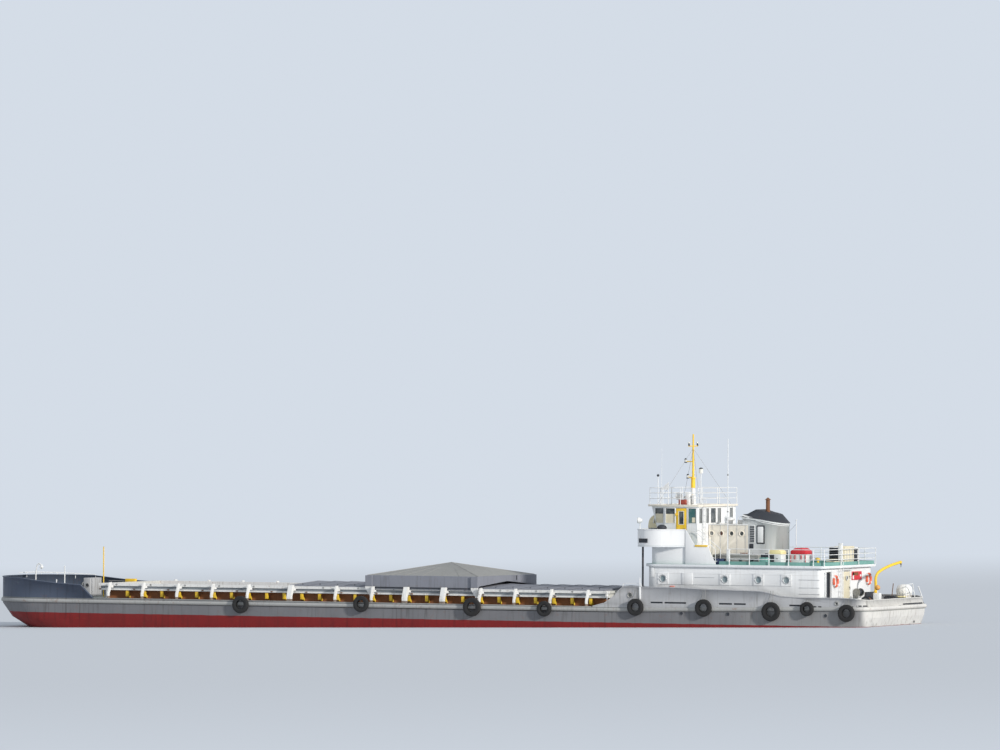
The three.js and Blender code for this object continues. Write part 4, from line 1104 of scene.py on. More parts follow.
@dataclass(frozen=True)
class Shell:
    """The hull outside: plating, strake, bulwarks and what is fastened to them."""

    fairleads: tuple[Point, ...] = ((14.75, 3.2, 0.13), (1.27, 2.9, 0.09))
    discharges: tuple[Point, ...] = ((8.28, 2.17), (11.33, 2.17), (1.96, 2.17))
    side_slots: tuple[Point, ...] = (
        (12.59, 13.4, 2.78), (11.05, 12.48, 2.78), (8.05, 8.92, 2.77), (7.15, 7.93, 2.77),
        (3.22, 4.34, 2.74), (2.57, 3.03, 2.67), (2.25, 2.48, 2.67), (0.2, 0.45, 2.69),
    )
    corner: Point = (0.05, 4.0, 0.697)
    bollards: tuple[Point, ...] = ((1.3, 4.1), (15.6, 4.25), (52.9, 4.25))
    bow_knees: tuple[Point, ...] = ((52.7, 3.22), (53.6, 3.28), (54.5, 3.3))
    freeing_arcs: tuple[Point, ...] = ((94, 118), (124, 146))

    def build(self) -> None:
        """Dresses the shell and adds its fittings."""
        dressed("hull", HULL_GREY, 28)
        dressed("rubbing_strake", STRAKE_GREY, 50)
        dressed("bow_bulwark", BOW_PAINTED_SHADE, 32)
        dressed("aft_bulwark", BULWARK_GREY, 32)
        dressed("aft_bulwark_starboard", BULWARK_GREY, 32)
        self._fittings()
        self._shade_behind_slots()
        self._stiffeners()
        self._hawse_rings()

    def _fittings(self) -> None:
        """Fairlead rims, discharge pipes with dark discs of painted shade in their mouths, bollards and the
        posts along the port bulwark.
        """
        piece = Piece("shell_fittings")
        for x, z, radius in self.fairleads:
            piece.ring((x, 4.765, z), radius + 0.02, 0.03, STRAKE_GREY)
            piece.ring((x, 4.685, z), radius + 0.02, 0.025, STRAKE_GREY)
        for x, z in self.discharges:
            piece.bar((x, 4.7, z), (x, 4.79, z), 0.12, HULL_GREY, sides=20, bevel=0.01)
            # Painted shade: a dark disc stands in for the unlit inside of the pipe.
            piece.bar((x, 4.785, z), (x, 4.8, z), 0.095, DARK, sides=20)
        for x, y in self.bollards:
            for shift in (-0.25, 0.25):
                piece.bar((x + shift, y, 2.9), (x + shift, y, 2.94), 0.125, DARK, sides=18, bevel=0.01)
                piece.bar((x + shift, y, 2.52), (x + shift, y, 2.88), 0.106, DARK, sides=18)
        piece.mirror()
        piece.box((14.02, 14.12), (4.75, 4.84), (2.95, 3.7), WHITE)
        piece.bar((14.07, 4.8, 3.7), (14.07, 4.8, 4.25), 0.025, WHITE)
        piece.pipe([(15.25, 4.7, 3.7), (15.2, 4.7, 3.9), (14.05, 4.7, 3.9), (14.0, 4.7, 3.72)], 0.022, WHITE)
        piece.bar((16.35, 4.55, 2.46), (16.35, 4.55, 3.35), 0.03, WHITE)
        for y, z in ((-2.42, 1.47), (-2.81, 1.67)):
            piece.ring((-0.48 - (z - 1.47) * 0.35, y, z), 0.05, 0.02, DARK, (1, 0, 0))
        piece.done(slot="bulwark_paint")

    def _shade_behind_slots(self) -> None:
        """Dark plates behind the freeing slots, and one round each stern corner, painted as the shade seen
        through the slots.
        """
        piece = Piece("freeing_slot_shade")
        # Painted shade: dark plates stand in for the unlit space seen through each slot.
        for aft, fore, z in self.side_slots:
            piece.box((aft - 0.03, fore + 0.03), (4.685, 4.698), (z - 0.08, z + 0.08), DARK, 0.0)
        x, y, reach = self.corner
        arc = []
        for i in range(6):
            angle = math.radians(90 + 15 * i)
            near = reach - 0.066 * max(0.0, -math.cos(angle))
            arc.append((x + near * math.cos(angle), y + near * math.sin(angle)))
        for a, b in zip(arc, arc[1:]):
            piece.sheet4([(*a, 2.59), (*b, 2.59), (*b, 2.75), (*a, 2.75)], 0.008, DARK)
        piece.mirror()
        piece.box((-0.582, -0.57), (-4.03, -0.2), (2.59, 2.75), DARK, 0.0)
        piece.done(slot="bulwark_paint")
        self._corner_slots()

    def _corner_slots(self) -> None:
        """The freeing slots of the stern as they show above the strake, on its corners and transom, drawn as
        dark strips of painted shade.
        """
        x, y, reach = self.corner
        piece = Piece("corner_slots")
        # Painted shade: dark strips on the bulwark stand in for the shaded openings of the slots.
        for first, last in self.freeing_arcs:
            arc = []
            for i in range(5):
                angle = math.radians(first + (last - first) * i / 4)
                near = reach + 0.049 - 0.066 * max(0.0, -math.cos(angle))
                arc.append((x + near * math.cos(angle), y + near * math.sin(angle)))
            for a, b in zip(arc, arc[1:]):
                piece.sheet4([(*a, 2.735), (*b, 2.735), (*b, 2.805), (*a, 2.805)], 0.008, DARK)
        piece.mirror()
        piece.box((-0.636, -0.628), (-3.9, -0.9), (2.735, 2.805), DARK, 0.0)
        piece.done(slot="bulwark_paint")

    def _stiffeners(self) -> None:
        """Knees inside the bulwarks, and a low lip along the deck's edge amidships."""
        piece = Piece("bulwark_knees")
        places = [0.75 + i * 1.12 for i in range(13)]
        aft = [(x, 3.2 if x < 5 else 3.5) for x in places]
        for x, high in (*aft, *self.bow_knees):
            top = high - 0.08
            piece.slab([(4.69, 2.455), (4.42, 2.455), (4.62, top), (4.69, top)], "x", (x, x + 0.025),
                       BULWARK_GREY)
        piece.box((17.3, 51.6), (4.7, 4.74), (2.45, 2.49), STRAKE_GREY, 0.008)
        piece.mirror()
        for y in (-3.2, -2.1, -1.0, 0.1, 1.2, 2.3, 3.4):
            piece.slab([(-0.6, 2.455), (-0.36, 2.455), (-0.42, 3.0), (-0.46, 3.0)], "y", (y, y + 0.025),
                       BULWARK_GREY)
        piece.done(slot="bulwark_paint")

    def _hawse_rings(self) -> None:
        """The rim of the hawse hole at each side of the bow, with a dark disc of painted shade in its mouth.
        """
        piece = Piece("hawse_rings")
        piece.ring((57.3, 4.3, 3.0), 0.2, 0.05, STRAKE_GREY, (0.45, 1, 0))
        # Painted shade: a dark disc stands in for the unlit inside of the hawse pipe.
        piece.bar((57.28, 4.25, 3.0), (57.3, 4.3, 3.0), 0.19, DARK, sides=24)
        piece.mirror()
        piece.done(slot="bulwark_paint")


@dataclass(frozen=True)
class Hold:
    """The hold, its coaming and beam, and the three rolling covers."""

    frame_pitch: float = 1.21
    first_bracket: float = 17.78
    bracket_pitch: float = 1.228
    brackets: int = 27

    def build(self) -> None:
        """Dresses the coaming and covers and adds their fittings."""
        dressed("hatch_coaming", COAMING, 20)
        for side in ("port", "starboard"):
            dressed("coaming_beam_" + side, BEAM_PALE, 20)
        for cover in ("tall", "aft", "fore"):
            dressed("hatch_cover_" + cover, COVER_GREY, 10, 0.012)
        self._frames()
        self._bracket_faces()
        self._beam_fittings()
        self._tall_fittings()
        self._low_ribs()

    def _frames(self) -> None:
        """Ribs along the hold's sides and ends, and a stringer along each side."""
        piece = Piece("hold_frames")
        for i in range(28):
            x = 17.5 + i * self.frame_pitch
            piece.box((x, x + 0.06), (3.3, 3.418), (0.52, 2.9), HOLD_RUST, 0.0)
        piece.box((17.1, 51.3), (3.34, 3.416), (1.5, 1.56), HOLD_RUST, 0.0)
        piece.mirror()
        for x in (17.06, 51.29):
            for y in (-2.8, -1.4, 0.0, 1.4, 2.8):
                piece.box((x, x + 0.05), (y - 0.04, y + 0.04), (0.52, 2.9), HOLD_RUST, 0.0)
        piece.done(slot="coaming_paint")

    def _bracket_faces(self) -> None:
        """The face bar at the outer end of each bracket."""
        piece = Piece("bracket_faces")
        for i in range(self.brackets):
            x = self.first_bracket + i * self.bracket_pitch
            piece.box((x - 0.1, x + 0.1), (3.8, 3.87), (2.58, 2.965), YELLOW, 0.006)
        piece.mirror()
        piece.done(slot="coaming_paint")

    def _beam_fittings(self) -> None:
        """Cleats and lashing eyes along the beam."""
        piece = Piece("beam_fittings")
        for i in range(14):
            x = 18.95 + i * 2.42
            piece.ring((x, 3.955, 3.32), 0.045, 0.012, STEEL)
            piece.box((x + 1.1, x + 1.24), (3.94, 3.965), (3.0, 3.06), RUSTY, 0.005)
        piece.mirror()
        piece.done(slot="beam_paint")

    def _tall_fittings(self) -> None:
        """Seams of the tall cover, a dark strip painted as the shadow along the foot of each side wall, and a
        dark strip on its aft end.
        """
        piece = Piece("tall_cover_fittings", "tall_cover")
        middle, half, wall, eaves, apex = 29.07, 3.83, 4.03, 4.13, 4.9
        for x, y in ((half, wall), (half, -wall), (-half, wall), (-half, -wall)):
            corner = (middle + x * 0.985, y * 0.985, eaves + 0.015)
            piece.bar(corner, (middle, 0, apex), 0.02, COVER_GREY, sides=8)
        for share in (-0.66, -0.33, 0.0, 0.33, 0.66):
            for side in (-1, 1):
                top = (middle + share * half * 0.35, side * wall * 0.35, eaves + (apex - eaves) * 0.65)
                foot = (middle + share * half, side * (wall - 0.02), eaves + 0.008)
                piece.bar(foot, top, 0.014, COVER_GREY, sides=6)
        reach = half - 0.05
        # Painted shadow: a dark strip along the foot of the side wall stands in for the shadow line above the
        # beam.
        piece.box((middle - reach, middle + reach), (wall, wall + 0.035), (3.36, 3.44), DARK, 0.008)
        piece.mirror(len(piece.parts) - 1)
        piece.box((middle - half - 0.02, middle - half), (-1.35, -1.25), (3.85, 4.12), DARK, 0.004)
        piece.done(slot="cover_paint")

    def _low_ribs(self) -> None:
        """Ribs and handles of the low covers."""
        for node, body, aft, length in (("aft", "aft_cover", 16.9, 9.3), ("fore", "fore_cover", 32.3, 6.0)):
            piece = Piece("low_ribs_" + node, body)
            count = round(length / 1.2)
            tilt = math.degrees(math.atan((3.62 - 3.43) / 3.8))
            for i in range(count + 1):
                x = aft + 0.03 + i * (length - 0.06) / count
                piece.box((x - 0.03, x + 0.03), (0.02, 3.78), (3.538, 3.56), COVER_GREY, 0.004, (-tilt, 0, 0))
            for i in range(count):
                x = aft + (i + 0.5) * length / count
                piece.ring((x, 3.2, 3.495), 0.05, 0.01, DARK, (1, 0, 0))
            piece.mirror()
            piece.done(slot="cover_paint")


@dataclass(frozen=True)
class Deckhouse:
    """The house on the main deck with its portholes, mouldings and aft wall."""

    portholes: Point = (12.98, 8.92, 6.72, 4.91)
    porthole_z: float = 4.2
    brow_reach: float = 0.27
    brow_angles: Point = (0.4, 0.9, 1.57, 2.24, 2.74)
    mouldings: tuple[Point, ...] = (
        (2.75, 4.1, 4.24), (2.75, 4.1, 3.77), (2.75, 4.1, 3.4), (9.6, 10.9, 4.3), (5.3, 13.3, 3.86),
        (2.8, 13.3, 2.62),
    )

    def build(self) -> None:
        """Dresses the walls and adds everything on them."""
        dressed("deckhouse", WHITE, 32, 0.01)
        self._sides()
        self._aft_wall()
        self._door()

    def _sides(self) -> None:
        """Porthole rims, glass and brows, and the mouldings along the walls."""
        piece = Piece("deckhouse_sides")
        z, reach = self.porthole_z, self.brow_reach
        for x in self.portholes:
            piece.ring((x, 3.885, z), 0.205, 0.026, DULL_WHITE)
            piece.bar((x, 3.8, z), (x, 3.835, z), 0.186, PORT_GLASS, sides=24)
            brow = [
                (x + reach * math.cos(turn), 3.9, z + reach * math.sin(turn)) for turn in self.brow_angles
            ]
            piece.pipe(brow, 0.014, PLAIN_WHITE, smooth=True)
            for side in (-1, 1):
                hinge = x + side * 0.225
                piece.box((hinge - 0.03, hinge + 0.03), (3.88, 3.93), (z - 0.03, z + 0.03), PLAIN_WHITE)
        for aft, fore, z in self.mouldings:
            piece.box((aft, fore), (3.85, 3.866), (z - 0.014, z + 0.014), DULL_WHITE, 0.004)
        piece.box((2.8, 13.3), (3.85, 3.87), (4.86, 4.92), PLAIN_WHITE, 0.004)
        piece.mirror()
        piece.box((13.55, 13.75), (3.852, 3.885), (4.3, 4.9), PLAIN_WHITE)
        piece.bar((14.43, 3.6, DECK), (14.43, 3.6, 6.12), 0.06, DARK, sides=16)
        piece.box((12.2, 12.52), (3.86, 3.9), (3.5, 3.78), PINK, 0.02)
        piece.done()

    def _aft_wall(self) -> None:
        """The doorway's inside painted dark as shade, lifebuoys, the blank red board and the gear on the
        wall.
        """
        piece = Piece("deckhouse_aft_wall")
        for y in (2.44, 3.28):
            piece.box((2.57, 2.6), (y - 0.03, y + 0.03), (2.75, 4.73), PLAIN_WHITE)
        piece.box((2.57, 2.6), (2.41, 3.31), (4.7, 4.76), PLAIN_WHITE)
        # Painted shade: a dark sheet stands in for the unlit inside of the open doorway.
        piece.box((2.75, 2.76), (2.47, 3.25), (2.78, 4.7), DARK, 0.0)
        piece.box((2.66, 2.74), (2.75, 3.0), (2.8, 3.05), RED)
        for y, z in ((1.96, 4.13), (-3.1, 4.19)):
            piece.ring((2.52, y, z), 0.3, 0.075, ORANGE, (1, 0, 0))
            for angle in (45, 135, 225, 315):
                cos, sin = math.cos(math.radians(angle)), math.sin(math.radians(angle))
                near, far = ((2.52, y + reach * cos, z + reach * sin) for reach in (0.24, 0.375))
                piece.bar(near, far, 0.082, PLAIN_WHITE, sides=16)
            piece.box((2.555, 2.6), (y - 0.05, y + 0.05), (z - 0.45, z - 0.3), PLAIN_WHITE)
        piece.box((2.55, 2.6), (-2.07, -0.6), (4.16, 4.67), RED, 0.02)
        piece.box((2.535, 2.552), (-1.5, -0.66), (4.44, 4.62), RUSTY, 0.0)
        piece.box((2.535, 2.552), (-0.84, -0.66), (4.2, 4.62), PLAIN_WHITE, 0.0)
        piece.box((2.535, 2.552), (-1.95, -1.78), (4.36, 4.48), PLAIN_WHITE, 0.0)
        piece.bar((2.35, -1.38, 3.42), (2.35, -0.82, 3.42), 0.17, DARK, sides=20, bevel=0.02)
        for y in (-1.4, -0.8):
            piece.bar((2.35, y - 0.015, 3.42), (2.35, y + 0.015, 3.42), 0.24, STEEL, sides=24)
        piece.box((2.3, 2.59), (-1.44, -0.76), (3.1, 3.16), STEEL)
        piece.box((2.42, 2.6), (-3.7, -2.6), (2.5, 3.4), DARK, 0.03)
        for z in (2.95, 3.25, 3.55, 3.85, 4.15, 4.45, 4.75):
            piece.bar((2.42, 1.05, z), (2.42, 1.45, z), 0.018, PLAIN_WHITE)
        for y in (1.05, 1.45):
            piece.pipe([(2.6, y, 2.8), (2.42, y, 2.8), (2.42, y, 5.3)], 0.022, PLAIN_WHITE)
        piece.pipe([(2.5, 3.5, 2.5), (2.5, 3.5, 4.6), (2.56, 3.5, 4.7)], 0.03, PLAIN_WHITE)
        piece.done()

    def _door(self) -> None:
        """The cream steel door with its clips, sill and small light."""
        dressed("deckhouse_door", CREAM, 30, 0.008)
        piece = Piece("deckhouse_door_clips", "house_door")
        outer = 2.551
        for y, z in ((-0.2, 3.1), (-0.2, 3.75), (-0.2, 4.4)):
            piece.bar((outer + 0.02, y, z), (outer - 0.035, y, z), 0.03, STEEL)
            piece.box((outer - 0.045, outer - 0.025), (y - 0.025, y + 0.025), (z - 0.13, z + 0.02), STEEL,
                      0.005)
        piece.ring((outer - 0.012, 0.2, 4.3), 0.13, 0.02, PLAIN_WHITE, (1, 0, 0))
        piece.bar((outer - 0.008, 0.2, 4.3), (outer + 0.004, 0.2, 4.3), 0.12, GLASS, sides=20)
        piece.done(slot="house_paint")
        sill = Piece("deckhouse_door_frame")
        sill.box((2.57, 2.6), (-0.42, -0.35), (2.72, 4.76), PLAIN_WHITE)
        sill.box((2.5, 2.6), (-0.4, 0.74), (2.66, 2.73), PLAIN_WHITE)
        sill.box((2.44, 2.6), (-0.5, 0.84), (4.78, 4.83), PLAIN_WHITE)
        sill.done()


@dataclass(frozen=True)
class Bridge:
    """The boat deck, bridge house, wings, wheelhouse and its roof."""

    aft_panes: tuple[Point, ...] = ((2.56, 2.12), (1.61, 1.15), (0.86, 0.11), (-0.13, -0.64), (-1.93, -2.39))
    stanchions: tuple[Point, ...] = (
        (11.6, 3.78), (12.2, 4.05), (12.9, 4.55), (13.6, 4.55), (14.3, 4.2), (14.7, 3.2), (14.78, 1.8),
    )
    hoop: tuple[Point, ...] = (
        (14.36, 8.0), (14.5, 7.97), (14.64, 7.88), (14.76, 7.75), (14.83, 7.58), (14.86, 7.4), (14.88, 7.2),
    )

    def build(self) -> None:
        """Dresses the decks and walls and adds everything on them."""
        dressed("boat_deck", DECK_GREEN, 30, 0.012)
        dressed("bridge_house", WHITE, 32, 0.01)
        dressed("bridge_deck", BRIDGE_GREEN, 32, 0.01)
        dressed("wing_bulwark", WHITE, 32)
        for side in ("port", "starboard"):
            dressed("ladder_side_" + side, WHITE, 30, 0.008)
        dressed("wheelhouse", WHITE, 20, 0.01)
        dressed("wheelhouse_roof", IVORY, 30, 0.02)
        self._windows()
        self._doors()
        self._wings()
        self._dodger()
        self._rungs()

    def _windows(self) -> None:
        """Frames, glass and half curtains of the wheelhouse windows, and the wipers in front."""
        middle, tall = 7.96, 0.88
        for sign, turn in ((1, 0), (-1, 180)):
            side = "port" if sign > 0 else "starboard"
            fore = Piece(f"window_side_fore_{side}", at=spot(12.975, sign * 2.84, middle, turn))
            fore.window(0.59, tall, PLAIN_WHITE, GLASS, 0.62)
            fore.done()
            aft = Piece(f"window_side_aft_{side}", at=spot(11.53, sign * 2.84, middle, turn))
            aft.window(0.5, tall, PLAIN_WHITE, TEAL_GLASS)
            aft.box((-0.2, 0.02), (-0.025, -0.02), (-0.4, -0.1), CREAM, 0.0)
            aft.done()
            pane = Piece(f"window_corner_{side}")
            low = [(13.5, 2.745), (14.12, 2.31)]
            high = [(13.5, 2.765), (14.36, 2.31)]
            mid = [(a[0] + (b[0] - a[0]) * 0.62, a[1] + (b[1] - a[1]) * 0.62) for a, b in zip(low, high)]
            pane.sheet4([(*low[0], 7.52), (*low[1], 7.52), (*mid[1], 8.07), (*mid[0], 8.07)], 0.015, CREAM)
            pane.sheet4([(*mid[0], 8.07), (*mid[1], 8.07), (*high[1], 8.4), (*high[0], 8.4)], 0.015, GLASS)
            if sign < 0:
                pane.reflect()
            pane.done()
        tilt = -math.degrees(math.atan(0.35 / 1.3))
        for i in range(5):
            y = (i - 2) * 0.88
            piece = Piece(f"window_front_{i + 1}", at=spot(14.305, y, middle, -90, tilt))
            piece.window(0.72, 0.91, PLAIN_WHITE, GLASS, 0.62)
            if i in (1, 2, 3):
                piece.bar((0.2, 0.03, 0.43), (-0.12, 0.03, -0.25), 0.012, DARK, sides=8)
                piece.box((0.15, 0.25), (0.0, 0.05), (0.42, 0.5), DARK)
            piece.done()
        for i, (port, starboard) in enumerate(self.aft_panes):
            piece = Piece(f"window_aft_{i + 1}", at=spot(11.2, (port + starboard) / 2, middle, 90))
            piece.window(port - starboard, tall, PLAIN_WHITE, GREY_GLASS if i != 2 else GLASS)
            piece.done()

    def _doors(self) -> None:
        """The yellow doors with their panes and handles, which swing with the leaves."""
        for side, sign in (("port", 1), ("starboard", -1)):
            dressed("wheelhouse_door_" + side, YELLOW, 30, 0.006)
            piece = Piece(f"wheelhouse_door_{side}_pane", side + "_door")
            piece.box((12.09, 12.41), (2.8, 2.82), (7.45, 8.22), GLASS, 0.0)
            for x in (12.08, 12.42):
                piece.box((x - 0.015, x + 0.015), (2.845, 2.862), (7.43, 8.24), PLAIN_WHITE, 0.004)
            for z in (7.44, 8.23):
                piece.box((12.08, 12.42), (2.845, 2.862), (z - 0.015, z + 0.015), PLAIN_WHITE, 0.004)
            piece.bar((11.99, 2.84, 7.18), (11.99, 2.9, 7.18), 0.02, STEEL)
            piece.box((11.97, 12.12), (2.89, 2.91), (7.165, 7.195), STEEL, 0.006)
            if sign < 0:
                piece.reflect()
            piece.done(slot="yellow_paint")

    def _wings(self) -> None:
        """The wings' blank black boards, covered stands, lamps and stanchions."""
        piece = Piece("wing_gear")
        fore, aft, low, high = (14.3, 4.45), (13.62, 4.73), 6.35, 6.6
        piece.sheet4([(*fore, low), (*aft, low), (*aft, high), (*fore, high)], 0.03, DARK)
        piece.ball((12.9, 4.2, 7.26), 0.3, DARK, 0.6)
        piece.bar((12.9, 4.2, 6.2), (12.9, 4.2, 7.2), 0.06, DARK)
        piece.bar((14.72, 3.4, 7.17), (14.72, 3.4, 7.5), 0.03, PLAIN_WHITE)
        lamp = [(0, -0.15), (0.1, -0.13), (0.17, 0.02), (0.18, 0.12), (0, 0.13)]
        piece.turned(lamp, (14.72, 3.4, 7.66), PLAIN_WHITE, (1, 0.3, 0.05))
        piece.bar((14.86, 3.44, 7.67), (14.875, 3.445, 7.67), 0.16, LAMP_GLASS, sides=20)
        for x, y in self.stanchions:
            piece.bar((x, y, 6.19), (x, y, 7.1), 0.025, PLAIN_WHITE)
        piece.mirror()
        piece.box((14.4, 14.6), (0.35, 0.75), (6.19, 6.9), NAVY, 0.03)
        piece.done()

    def _dodger(self) -> None:
        """The canvas dodger with its two end panels, stretched over three hoops ahead of the wheelhouse."""
        curve, half, bays = self.hoop, 1.9, 24
        points, faces = [], []
        for row in range(bays + 1):
            y = -half + 2 * half * row / bays
            sag = 0.02 * abs(math.sin(math.pi * row / 8))
            for i, (x, z) in enumerate(curve):
                dip = sag * math.sin(math.pi * i / (len(curve) - 1))
                points.append((x - dip, y, z - dip))
        wide = len(curve)
        for row in range(bays):
            for i in range(wide - 1):
                a = row * wide + i
                faces.append([a, a + 1, a + wide + 1, a + wide])
        for row in (0, bays):
            inner = len(points)
            for _, z in curve:
                points.append((14.13 + 0.35 * (z - 7.2) / 1.3, -half + 2 * half * row / bays, z))
            for i in range(wide - 1):
                a, b = row * wide + i, inner + i
                faces.append([a, a + 1, b + 1, b] if row else [a, b, b + 1, a + 1])
        cloth = from_points("canvas_dodger", points, [], faces)
        edited(cloth, (bpy.ops.mesh.subdivide, {"number_cuts": 1, "smoothness": 0.0}))
        cloth.data.transform(TO_FRAME)
        SHOP.coat(cloth, CANVAS)
        smoothed(cloth, 60)
        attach(cloth, ROOT)
        hoops = Piece("dodger_hoops")
        for y in (-1.88, 0.0, 1.88):
            hoops.pipe([(x - 0.035, y, z - 0.035) for x, z in curve], 0.016, STEEL)
        hoops.bar((14.83, -1.9, 7.2), (14.83, 1.9, 7.2), 0.02, DARK)
        hoops.bar((14.34, -1.9, 7.97), (14.34, 1.9, 7.97), 0.018, DARK)
        hoops.done(slot="rail_paint")

    def _rungs(self) -> None:
        """Handrails of the bridge ladders and the yellow edge strip."""
        piece = Piece("bridge_ladder_rails")
        for y in (3.08, 3.83):
            piece.pipe([(9.55, y, 5.1), (9.55, y, 6.0), (10.95, y, 7.1), (11.12, y, 7.1)], 0.02, PLAIN_WHITE)
        piece.box((10.04, 10.86), (3.85, 3.94), (6.14, 6.24), YELLOW, 0.008)
        piece.mirror()
        for z in (6.6, 6.95, 7.3, 7.65, 8.0, 8.35):
            piece.bar((11.12, 1.72, z), (11.12, 2.06, z), 0.016, PLAIN_WHITE)
        for y in (1.72, 2.06):
            piece.pipe([(11.2, y, 6.4), (11.12, y, 6.4), (11.12, y, 8.9), (11.3, y, 9.0)], 0.02, PLAIN_WHITE)
        piece.done()


@dataclass(frozen=True)
class RoofGear:
    """The rails, mast, lamps and aerials on the wheelhouse."""

    top: float = 8.592

    def build(self) -> None:
        """Builds the roof's gear."""
        side = [(11.14, 2.86), (12.3, 2.88), (13.45, 2.88), (14.55, 2.36), (14.55, 0.8)]
        rails = Piece("roof_railing_round")
        path = side + [(x, -y) for x, y in reversed(side)] + [(11.14, 0)]
        rails.railing(path, self.top, (0.4, 0.72, 1.03), 0.022, PLAIN_WHITE, True)
        rails.done("roof_railing")
        self._mast()
        self._small_gear()

    def _mast(self) -> None:
        """The signal mast with its crosstree, lamps, stays and steps."""
        x, top = 12.76, self.top
        mast = Piece("signal_mast_dressed")
        mast.bar((x, 0, top), (x, 0, 9.6), 0.16, PLAIN_WHITE, 0.135, 20)
        mast.bar((x, 0, 9.6), (x, 0, 10.2), 0.135, YELLOW, 0.12, 20)
        mast.bar((x, 0, 10.1), (x, 0, 12.86), 0.07, YELLOW, 0.045, 16)
        mast.bar((x, 0, top), (x, 0, top + 0.05), 0.26, PLAIN_WHITE, sides=24, bevel=0.01)
        mast.bar((x, 0, 10.17), (x, 0, 10.24), 0.17, YELLOW, sides=20, bevel=0.01)
        mast.bar((x, -0.67, 12.14), (x, 0.67, 12.14), 0.03, YELLOW)
        for y in (-0.62, 0.62):
            mast.bar((x, y, 12.14), (x, y, 12.3), 0.05, DARK)
            mast.ball((x, y, 12.34), 0.06, LAMP_GLASS)
        for z, reach in ((11.2, 0.5), (10.25, 0.35)):
            mast.bar((x, 0, z), (x + reach, 0, z), 0.03, YELLOW)
            mast.bar((x + reach, 0, z - 0.08), (x + reach, 0, z - 0.02), 0.09, DARK, sides=18)
            mast.bar((x + reach, 0, z - 0.02), (x + reach, 0, z + 0.12), 0.075, LAMP_GLASS, sides=18)
            mast.bar((x + reach, 0, z + 0.12), (x + reach, 0, z + 0.2), 0.09, DARK, 0.04, 18)
        for i in range(9):
            z = 8.9 + i * 0.3
            mast.bar((x - 0.03, -0.2, z), (x - 0.03, 0.2, z), 0.014, YELLOW, sides=8)
        mast.box((x + 0.02, x + 0.3), (0.16, 0.5), (top, 9.35), PLAIN_WHITE, 0.03)
        mast.box((x - 0.28, x - 0.1), (0.15, 0.42), (top + 0.1, 9.2), PLAIN_WHITE, 0.03)
        for y in (-2.3, 2.3):
            mast.bar((x, 0, 12.0), (11.25, y, top), 0.008, STEEL, sides=6)
            mast.bar((x, 0, 12.0), (14.3, y * 0.8, top), 0.008, STEEL, sides=6)
        mast.done("signal_mast")

    def _small_gear(self) -> None:
        """Lantern and ball poles, whip aerial, searchlight, wedge plate, horn and the roof's edge strip."""
        piece = Piece("roof_gear")
        top = self.top
        piece.bar((12.24, 0.0, top), (12.24, 0.0, 10.55), 0.025, PLAIN_WHITE)
        piece.bar((12.24, 0.0, 10.5), (12.24, 0.0, 10.76), 0.13, LAMP_GLASS, sides=20)
        piece.bar((12.24, 0.0, 10.76), (12.24, 0.0, 10.84), 0.14, DARK, 0.06, 20)
        piece.bar((14.45, 1.4, top), (14.45, 1.4, 10.3), 0.02, PLAIN_WHITE)
        piece.ball((14.45, 1.4, 10.36), 0.08, DARK)
        piece.slab([(14.5, 9.5), (13.95, 9.95), (13.95, 9.5)], "y", (0.985, 1.015), PLAIN_WHITE, 0.004)
        piece.bar((13.95, 1.0, top), (13.95, 1.0, 9.95), 0.025, PLAIN_WHITE)
        piece.box((12.95, 13.42), (0.35, 0.7), (top, 8.9), RUDDER_RED, 0.03)
        searchlight = [(0, -0.2), (0.14, -0.17), (0.21, 0.0), (0.22, 0.14), (0, 0.15)]
        piece.turned(searchlight, (13.95, -0.6, 9.1), PLAIN_WHITE, (1, 0, -0.05))
        piece.bar((13.95, -0.6, top), (13.95, -0.6, 8.92), 0.035, PLAIN_WHITE)
        piece.bar((14.1, -0.6, 9.09), (14.115, -0.6, 9.09), 0.2, LAMP_GLASS, sides=24)
        horn = [(0, 0), (0.04, 0), (0.05, 0.35), (0.13, 0.55), (0.12, 0.55), (0, 0.1)]
        piece.turned(horn, (13.3, -1.2, 8.95), STEEL, (1, 0, 0.05))
        piece.bar((13.5, -1.2, top), (13.5, -1.2, 8.95), 0.02, STEEL)
        piece.bar((14.3, 1.2, top), (14.3, 1.2, 12.0), 0.014, PLAIN_WHITE, 0.006, 8)
        outline = [(11.08, 2.92), (13.5, 2.95), (14.65, 2.4)]
        port = [(x, y, top + 0.012) for x, y in outline]
        starboard = [(x, -y, z) for x, y, z in reversed(port)]
        piece.pipe(port + starboard, 0.022, IVORY, True)
        piece.done(slot="rail_paint")


